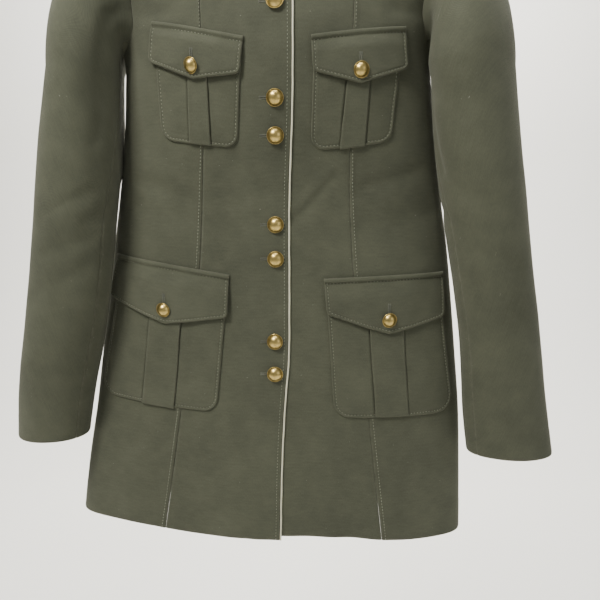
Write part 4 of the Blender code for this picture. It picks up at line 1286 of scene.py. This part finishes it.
def brass_material():
    """Antique brass: bright where rubbed, brown in the hollows, finely scratched."""
    graph = Graph("antique_brass")
    cloud = graph.noise(graph.solid, 210.0, 4.0, 0.6)
    grain = graph.noise(graph.solid, 1.0, stretch=(900.0, 2600.0, 900.0))
    occlusion = graph.add("ShaderNodeAmbientOcclusion", {"Distance": 0.0016}, samples=8).outputs["AO"]
    hollow = graph.math("SUBTRACT", 1.0, graph.fit(occlusion, 0.45, 0.95), clamp=True)
    dark = graph.total(graph.fit(cloud, 0.42, 0.72, 0.0, 0.40), graph.times(hollow, 0.80), clamp=True)
    colour = graph.mix(dark, (0.700, 0.525, 0.185), (0.100, 0.068, 0.024))
    roughness = graph.fit(graph.total(graph.times(dark, 0.6), grain), 0.3, 1.3, 0.26, 0.52)
    normal = graph.bump(graph.total(grain, cloud), 0.00007, 0.5)
    return graph.finish(colour, roughness, normal, {"Metallic": 1.0})


def wood_material():
    """Pale varnished wood with long grain."""
    graph = Graph("pale_wood")
    grain = graph.noise(graph.solid, 1.4, 5.0, 0.62, stretch=(5.0, 70.0, 70.0))
    pore = graph.noise(graph.solid, 1.0, stretch=(40.0, 900.0, 900.0))
    colour = graph.mix(graph.fit(grain, 0.35, 0.68), (0.560, 0.370, 0.200), (0.320, 0.180, 0.080))
    colour = graph.mix(graph.fit(pore, 0.60, 0.74, 0.0, 0.5), colour, (0.20, 0.11, 0.05))
    return graph.finish(colour, 0.42, graph.bump(pore, 0.00010, 0.35), {"Coat Weight": 0.25})


def steel_material():
    """Bright drawn wire with fine lengthwise scratches."""
    graph = Graph("bright_steel")
    scratch = graph.noise(graph.solid, 1.0, stretch=(1500.0, 1500.0, 260.0))
    roughness = graph.fit(graph.noise(graph.solid, 40.0, 3.0), 0.3, 0.7, 0.16, 0.34)
    colour = graph.mix(graph.fit(scratch, 0.3, 0.8, 0.0, 0.4), (0.66, 0.66, 0.64), (0.40, 0.40, 0.39))
    return graph.finish(colour, roughness, graph.bump(scratch, 0.00004, 0.5), {"Metallic": 1.0})


def wall_material():
    """Pale painted plaster for the floor and the wall behind."""
    graph = Graph("pale_wall")
    cloud = graph.fit(graph.noise(graph.solid, 0.8, 3.0), 0.3, 0.7)
    colour = graph.mix(cloud, (0.800, 0.792, 0.752), (0.820, 0.814, 0.776))
    return graph.finish(colour, 0.85, graph.bump(graph.noise(graph.solid, 140.0, 4.0), 0.0004, 0.3))


def make_materials():
    return {
        "twill": twill_material(),
        "thread": thread_material("topstitch_thread", THREAD_COLOUR),
        "hole": thread_material("buttonhole_thread", HOLE_THREAD_COLOUR),
        "cream": piping_material(),
        "brass": brass_material(),
        "wood": wood_material(),
        "steel": steel_material(),
    }


def surface_normals(grid):
    """Unit normals of a front or back panel, pointing away from the body."""
    normal = unit(np.cross(np.gradient(grid, axis=1), np.gradient(grid, axis=0)))
    return -normal if np.sum((normal * grid)[..., :2]) < 0 else normal


def tidy_normals(grid, rounds=3):
    """Normals of a panel, evened out so that the inner side doesn't cross itself at a rolled edge."""
    normal = surface_normals(grid)
    for _ in range(rounds):
        wide = np.pad(normal, ((1, 1), (1, 1), (0, 0)), mode="edge")
        normal = (wide[:-2, 1:-1] + wide[2:, 1:-1] + wide[1:-1, :-2] + wide[1:-1, 2:] + normal * 2) / 6
    return unit(normal)


def panel_inner(grid):
    return grid - tidy_normals(grid) * CLOTH_THICKNESS


def make_body(finishes):
    """The six body panels, by name, with the stitched seams between them."""
    grids = {}
    for side, wearer in WEARER.items():
        def seam(z, wearer=wearer):
            return smooth(PRINCESS, wearer, z) + SEAM_GAP / 2

        def centre_back(z):
            return SEAM_GAP / 2 + 0.0 * np.asarray(z)

        back_seam = stitched_seam if side < 0 else plain_seam
        grids[f"front_{wearer}"] = front_centre_grid(side)
        grids[f"side_front_{wearer}"] = side_panel_grid("front", side, seam, stitched_seam)
        grids[f"back_{wearer}"] = side_panel_grid("back", side, centre_back, back_seam)
    for name, grid in grids.items():
        piece = Piece(name)
        piece.add_shell(grid, panel_inner(grid), finishes["twill"])
        toward = nearest_normals(grid, surface_normals(grid))
        if name.startswith("side_front") or name == "back_right":
            skip = under_pocket if name.startswith("side_front") else None
            add_seam_stitches(piece, line_in_grid(grid, SEAM_STITCH_IN), toward, finishes["thread"], skip,
                              radius=SEAM_THREAD_RADIUS, seed=len(name))
        if name == "front_right":
            line = line_in_grid(grid, PIPING_STITCH_IN, from_last=True)
            add_seam_stitches(piece, line, toward, finishes["thread"], seed=3)
        piece.build()
    return grids


def make_sleeves(finishes):
    """Upper and under sleeve of each arm."""
    for side, wearer in WEARER.items():
        spans = {
            f"sleeve_upper_{wearer}": (HINDARM_SEAM - 360.0 + SEAM_TURN, FOREARM_SEAM - SEAM_TURN),
            f"sleeve_under_{wearer}": (FOREARM_SEAM + SEAM_TURN, HINDARM_SEAM - SEAM_TURN),
        }
        for name, span in spans.items():
            grid, normal = sleeve_grid(side, *span)
            piece = Piece(name)
            piece.add_shell(grid, grid - normal * CLOTH_THICKNESS, finishes["twill"])
            piece.build()


def collar_base():
    """The neck seam from the right front end round the back to the left front end."""
    past = SHOULDER_IN[0] - 0.6 * MM
    front_x = between(COLLAR_HALF_GAP, past, np.linspace(0.0, 1.0, 42))
    back_x = past * np.linspace(1.0, 0.0, 36)
    halves = []
    for side in WEARER:
        for face, x in (("front", front_x), ("back", back_x)):
            lift = overlap_rise(side * x) * (side < 0 and face == "front")
            z = neckline(x, face)
            halves.append(torso_point(face, angle_at(side * x, z), z, lift))
    right = np.concatenate(halves[:2])
    left = np.concatenate(halves[2:])
    base = np.concatenate([right[:-1], left[::-1]])
    length = lengths_along(base)
    return at_lengths(length[-1] * crowded(length[-1], 0.8 * MM, 2.2 * MM, 8 * MM), length, base)


def make_collar(finishes):
    """Stand collar, topstitched round its edge."""
    base = collar_base()
    inside = unit((np.array([0.0, COLLAR_CENTRE_Y, 0.0]) - base) * [1.0, 1.0, 0.0])
    rise = unit(np.array([0.0, 0.0, 1.0]) + inside * COLLAR_LEAN)
    height = COLLAR_HEIGHT - COLLAR_DIP * hump(np.abs(base[:, 0]) - SHOULDER_IN[0], COLLAR_DIP_REACH)
    end = np.minimum(np.arange(len(base)), np.arange(len(base))[::-1]) / 12.0
    height = height - 0.0035 * (1 - ease(end))
    share = crowded(COLLAR_HEIGHT, PATCH_EDGE_STEP, 2.0 * MM, 6 * MM)[:, None]
    plain = base + rise * (COLLAR_SEAM_GAP + (height - COLLAR_SEAM_GAP) * share)[..., None]
    across, up = arc_lengths(plain)
    near = np.minimum(up[-1:] - up, np.minimum(across, across[:, -1:] - across))
    relief = -0.7 * MM * hump(near, 1.1 * MM) + 0.3 * MM * hump(near - 1.8 * MM, 1.0 * MM)
    relief = relief - 0.4 * MM * hump(near - TOPSTITCH_IN, GROOVE_WIDTH)
    relief = relief + 0.35 * MM * np.sin(across * 75) * ease(up / 0.02)
    relief = relief - 0.5 * MM * hump(up, 1.5 * MM)
    outer = plain - inside * relief[..., None]
    inner = plain + inside * (1.9 * MM - 0.5 * MM * hump(near, 1.1 * MM))[..., None]
    piece = Piece("collar")
    piece.add_shell(outer, inner, finishes["twill"])
    toward = nearest_normals(outer, np.broadcast_to(-inside, outer.shape))
    for line in (row_line(outer, TOPSTITCH_IN, from_last=True), row_line(outer, 2.0 * MM)):
        add_seam_stitches(piece, line, toward, finishes["thread"], seed=11)
    piece.build()


def add_patch_stitches(piece, line, level, finish, seed, keep=None):
    """Stitches along a line of (x, z) places, where keep(x, z) holds, on a patch level(x, z) high."""
    x, z = line[:, 0], line[:, 1]
    points = front_point(x, z, front_rise(x) + level(x, z))
    places, along = even_stations(points, STITCH_PITCH)
    if keep is not None:
        shown = keep(places[:, 0], places[:, 2])
        places, along = places[shown], along[shown]
    add_threads(piece, places, along, front_normal(places[:, 0], places[:, 2]), finish, seed=seed)


def open_line(loop):
    """A closed line of places, cut open at its highest point so that its ends hide under the flap."""
    start = int(np.argmax(loop[:, 1]))
    return np.roll(loop, -start, axis=0)


def make_pocket(row, finishes):
    """Patch pocket with a box pleat, stitched on round its border."""
    x, z = pocket_grid(row)
    outline = grid_outline(x, z)
    level = pocket_level(row, outline, x, z)
    rise = front_rise(x)
    outer = front_point(x, z, rise + level)
    inner = front_point(x, z, rise + 0.15 * MM)
    piece = Piece(f"pocket_{row.name}")
    piece.add_shell(outer, inner, finishes["twill"])
    band, band_inner, edge = pleat_band(row)
    piece.add_shell(band, band_inner, finishes["twill"], wear=0.7 * hump(edge, 1.4 * MM))

    def height(at_x, at_z):
        return pocket_level(row, outline, at_x, at_z)

    def shown(at_x, at_z):
        near, far = pleat_sides(row, at_z)
        clear = (row.side * at_x < near - 0.5 * MM) | (row.side * at_x > far + 0.5 * MM)
        return clear & (at_z < flap_top(row, row.side * at_x) - 0.014)

    border = open_line(inset_line(outline, TOPSTITCH_IN))
    add_patch_stitches(piece, border, height, finishes["thread"], seed=21 + row.side, keep=shown)
    piece.build()


def make_flap(row, finishes):
    """Pointed pocket flap under a rounded welt, with its buttonhole and button."""
    x, z = flap_grid(row)
    outline = grid_outline(x, z)
    rise = front_rise(x)
    outer = front_point(x, z, rise + flap_level(row, outline, x, z))
    piece = Piece(f"flap_{row.name}")
    piece.add_shell(outer, front_point(x, z, rise + flap_seat(row, x, z)), finishes["twill"])

    def height(at_x, at_z):
        return flap_level(row, outline, at_x, at_z)

    def shown(at_x, at_z):
        return flap_top(row, row.side * at_x) - at_z > WELT_HEIGHT + 1.0 * MM

    border = open_line(inset_line(outline, TOPSTITCH_IN))
    add_patch_stitches(piece, border, height, finishes["thread"], seed=31 + row.side, keep=shown)
    away = np.linspace(row.inner_top[0] + 1.5 * MM, row.outer_top[0] - 1.5 * MM, 60)
    under_welt = np.stack([row.side * away, flap_top(row, away) - WELT_HEIGHT - 0.6 * MM], -1)
    add_patch_stitches(piece, under_welt, height, finishes["thread"], seed=41)
    x, z = flap_button(row)
    add_buttonhole(piece, (x, z + 0.0070), (x, z + flap_size(row).hole_top),
                   lambda at_x, at_z: height(at_x, at_z) + front_rise(at_x), finishes["hole"])
    piece.build()
    seat = height(np.array([x]), np.array([z]))[0] + front_rise(x)
    add_button(f"button_{row.name}", (x, z), seat - 0.5 * MM, FLAP_BUTTON_TILTS[row.name], finishes["brass"],
               FLAP_BUTTON_WIDTH)


def add_buttonhole(piece, start, end, level, finish):
    """Two rows of close stitches beside a slit, with a bar across its outer end."""
    run = np.subtract(end, start)
    length = np.hypot(*run)
    run = run / length
    cross = np.array([-run[1], run[0]])
    at = (np.arange(int(length / HOLE_PITCH)) + 0.5) * HOLE_PITCH
    rows = [start + run * at[:, None] + cross * side * 0.95 * MM for side in (-1.0, 1.0)]
    bar = end + run * 0.3 * MM + cross * np.linspace(-1.6, 1.6, 7)[:, None] * MM
    for spot, heading, stitch in ((np.concatenate(rows), cross, 1.9 * MM), (bar, run, 1.7 * MM)):
        x, z = spot[:, 0], spot[:, 1]
        out = level(x, z) + 0.12 * MM
        points = front_point(x, z, out)
        along = unit(front_point(x + heading[0] * 0.4 * MM, z + heading[1] * 0.4 * MM, out) - points)
        add_threads(piece, points, along, front_normal(x, z), finish, length=stitch, radius=0.30 * MM, seed=5)


def make_buttonholes(finishes, grid):
    """The eight level buttonholes beside the front buttons, held on the right front."""
    piece = Piece("buttonholes_front")
    flat = grid.reshape(-1, 3)

    def level(x, z):
        plain = front_point(x, z, front_rise(x))
        nearest = np.array([np.argmin((flat[:, 0] - a) ** 2 + (flat[:, 2] - b) ** 2) for a, b in zip(x, z)])
        return front_rise(x) + np.clip(plain[:, 1] - flat[nearest, 1], -0.0008, 0.0008)

    for x, z in button_places():
        add_buttonhole(piece, (x - 0.006, z), (x - 0.0165, z - 0.0004), level, finishes["hole"])
    piece.build(has_solid=False)


# Widths as shares of the turned button's, and the tilt of each button in degrees, towards +X and up
FRONT_BUTTON_WIDTH = 0.93
FLAP_BUTTON_WIDTH = 0.87
BUTTON_TILTS = (
    (3.0, -4.0), (-4.0, 3.0), (2.0, -6.0), (5.0, 2.0), (-3.0, -3.0), (4.0, -5.0), (-5.0, 2.0), (2.0, -4.0),
)
FLAP_BUTTON_TILTS = {
    "chest_right": (-16.0, -9.0),
    "chest_left": (5.0, -8.0),
    "lower_right": (-6.0, -10.0),
    "lower_left": (4.0, -10.0),
}


def make_front_buttons(finishes):
    for count, place in enumerate(button_places()):
        add_button(f"button_front_{count + 1}", place, OVERLAP_RISE + 0.1 * MM, BUTTON_TILTS[count],
                   finishes["brass"], FRONT_BUTTON_WIDTH)


def make_piping(finishes):
    heights = np.linspace(float(neckline(PIPING_TOP_X, "front")), float(hem_height(0.0)), 420)
    x = smooth(FRONT_EDGE, "x", heights) + 0.12 * MM * np.sin(heights * 160)
    path = front_point(x, heights, OVERLAP_RISE - PIPING_RADIUS)
    add_tube("piping_front", path, PIPING_RADIUS, finishes["cream"], 14)


def bar_height(x):
    """Top line of the hanger under the shoulder's inner side, rounded over between them."""
    round_x = 0.120
    fall = (SHOULDER_TIP[1] - SHOULDER_IN[1]) / (SHOULDER_TIP[0] - SHOULDER_IN[0])
    peak = shoulder_height(round_x) - fall * (round_x ** 2 - x ** 2) / (2 * round_x)
    return np.where(np.abs(x) < round_x, peak, shoulder_height(x)) - 0.0026


def make_hanger(finishes):
    """Plain wooden bar with rounded ends, and its wire hook."""
    x = np.linspace(-0.170, 0.170, 160)
    lift = np.sqrt(1 + np.gradient(bar_height(x), x) ** 2)
    swell = 0.008 * (1 - 0.25 * ease((np.abs(x) - 0.12) / 0.05))
    bar = np.stack([x, 0.0 * x, bar_height(x) - 0.008 * lift], -1)
    add_tube("hanger_bar", bar, swell, finishes["wood"], 28)
    radius = 0.0218
    turns = np.radians(np.linspace(-90.0, 150.0, 90))
    bow = np.stack([radius * np.cos(turns), 0.0 * turns, -0.020 + radius * np.sin(turns)], -1)
    foot = float(bar_height(0.0)) - 0.002
    stem = np.stack([np.zeros(8), np.zeros(8), np.linspace(foot, -0.0458, 8)], -1)
    corner = np.stack([np.zeros(6), np.zeros(6), np.linspace(-0.0452, -0.0424, 6)], -1)
    add_tube("hanger_hook", np.concatenate([stem, corner, bow]), 0.0018, finishes["steel"], 20)


def make_stage():
    """A pale floor that curves up into a wall far behind the jacket."""
    profile = [(-7.0, -1.60), (1.6, -1.60)]
    for turn in np.radians(np.linspace(0.0, 90.0, 24)):
        profile.append((1.6 + 1.6 * math.sin(turn), -1.60 + 1.6 * (1 - math.cos(turn))))
    profile.append((3.2, 4.0))
    across = np.linspace(-7.0, 7.0, 3)
    points = [(x, y, z) for y, z in profile for x in across]
    faces = grid_quads(len(profile), len(across)).tolist()
    data = bpy.data.meshes.new("studio_sweep")
    data.from_pydata(points, [], faces)
    data.shade_smooth()
    data.materials.append(wall_material())
    sweep = bpy.data.objects.new("studio_sweep", data)
    bpy.context.scene.collection.objects.link(sweep)


def add_light(name, place, target, size, power, colour):
    lamp = bpy.data.lights.new(name, "AREA")
    lamp.shape = "RECTANGLE"
    lamp.size, lamp.size_y = size
    lamp.energy = power
    lamp.color = colour
    obj = bpy.data.objects.new(name, lamp)
    obj.location = place
    aim = np.subtract(target, place)
    flat = math.hypot(aim[0], aim[1])
    obj.rotation_euler = (math.pi / 2 - math.atan2(-aim[2], flat), 0.0, math.atan2(-aim[0], aim[1]))
    bpy.context.scene.collection.objects.link(obj)


def make_lights():
    """Large soft key from the front, high on the viewer's left, with a weaker fill and a pale room."""
    add_light("key", (-0.75, -1.05, 0.80), (0.0, 0.0, -0.30), (0.5, 0.5), 32.0, (1.0, 0.985, 0.94))
    add_light("fill", (1.9, -1.7, 0.0), (0.0, 0.0, -0.5), (1.6, 1.6), 7.0, (0.98, 0.99, 1.0))
    add_light("top", (0.0, -0.35, 1.1), (0.0, 0.0, -0.3), (0.8, 0.6), 9.0, (1.0, 1.0, 1.0))
    add_light("behind", (0.9, 1.9, 0.8), (0.0, 0.0, -0.5), (1.5, 1.5), 8.0, (1.0, 0.99, 0.97))
    add_light("wall", (0.0, 1.0, 1.9), (0.0, 3.2, -0.6), (2.5, 0.8), 330.0, (1.0, 0.975, 0.92))
    world = bpy.data.worlds.new("room")
    world.use_nodes = True
    world.node_tree.nodes["Background"].inputs["Color"].default_value = (0.93, 0.94, 0.95, 1.0)
    world.node_tree.nodes["Background"].inputs["Strength"].default_value = 0.30
    bpy.context.scene.world = world


def make_camera():
    """The photo's viewing angle: a little from the viewer's right and looking slightly down."""
    lens = bpy.data.cameras.new("photo_camera")
    lens.lens = 36.0
    lens.sensor_width = 36.0
    lens.clip_start = 0.02
    camera = bpy.data.objects.new("photo_camera", lens)
    camera.location = (0.0634, -0.7496, -0.475)
    camera.rotation_euler = (math.radians(81.5), 0.0, math.radians(3.0))
    bpy.context.scene.collection.objects.link(camera)
    bpy.context.scene.camera = camera


def main():
    finishes = make_materials()
    make_hanger(finishes)
    grids = make_body(finishes)
    make_sleeves(finishes)
    make_collar(finishes)
    for row in POCKETS:
        make_pocket(row, finishes)
        make_flap(row, finishes)
    make_buttonholes(finishes, grids["front_right"])
    make_piping(finishes)
    make_front_buttons(finishes)
    make_stage()
    make_lights()
    make_camera()


main()
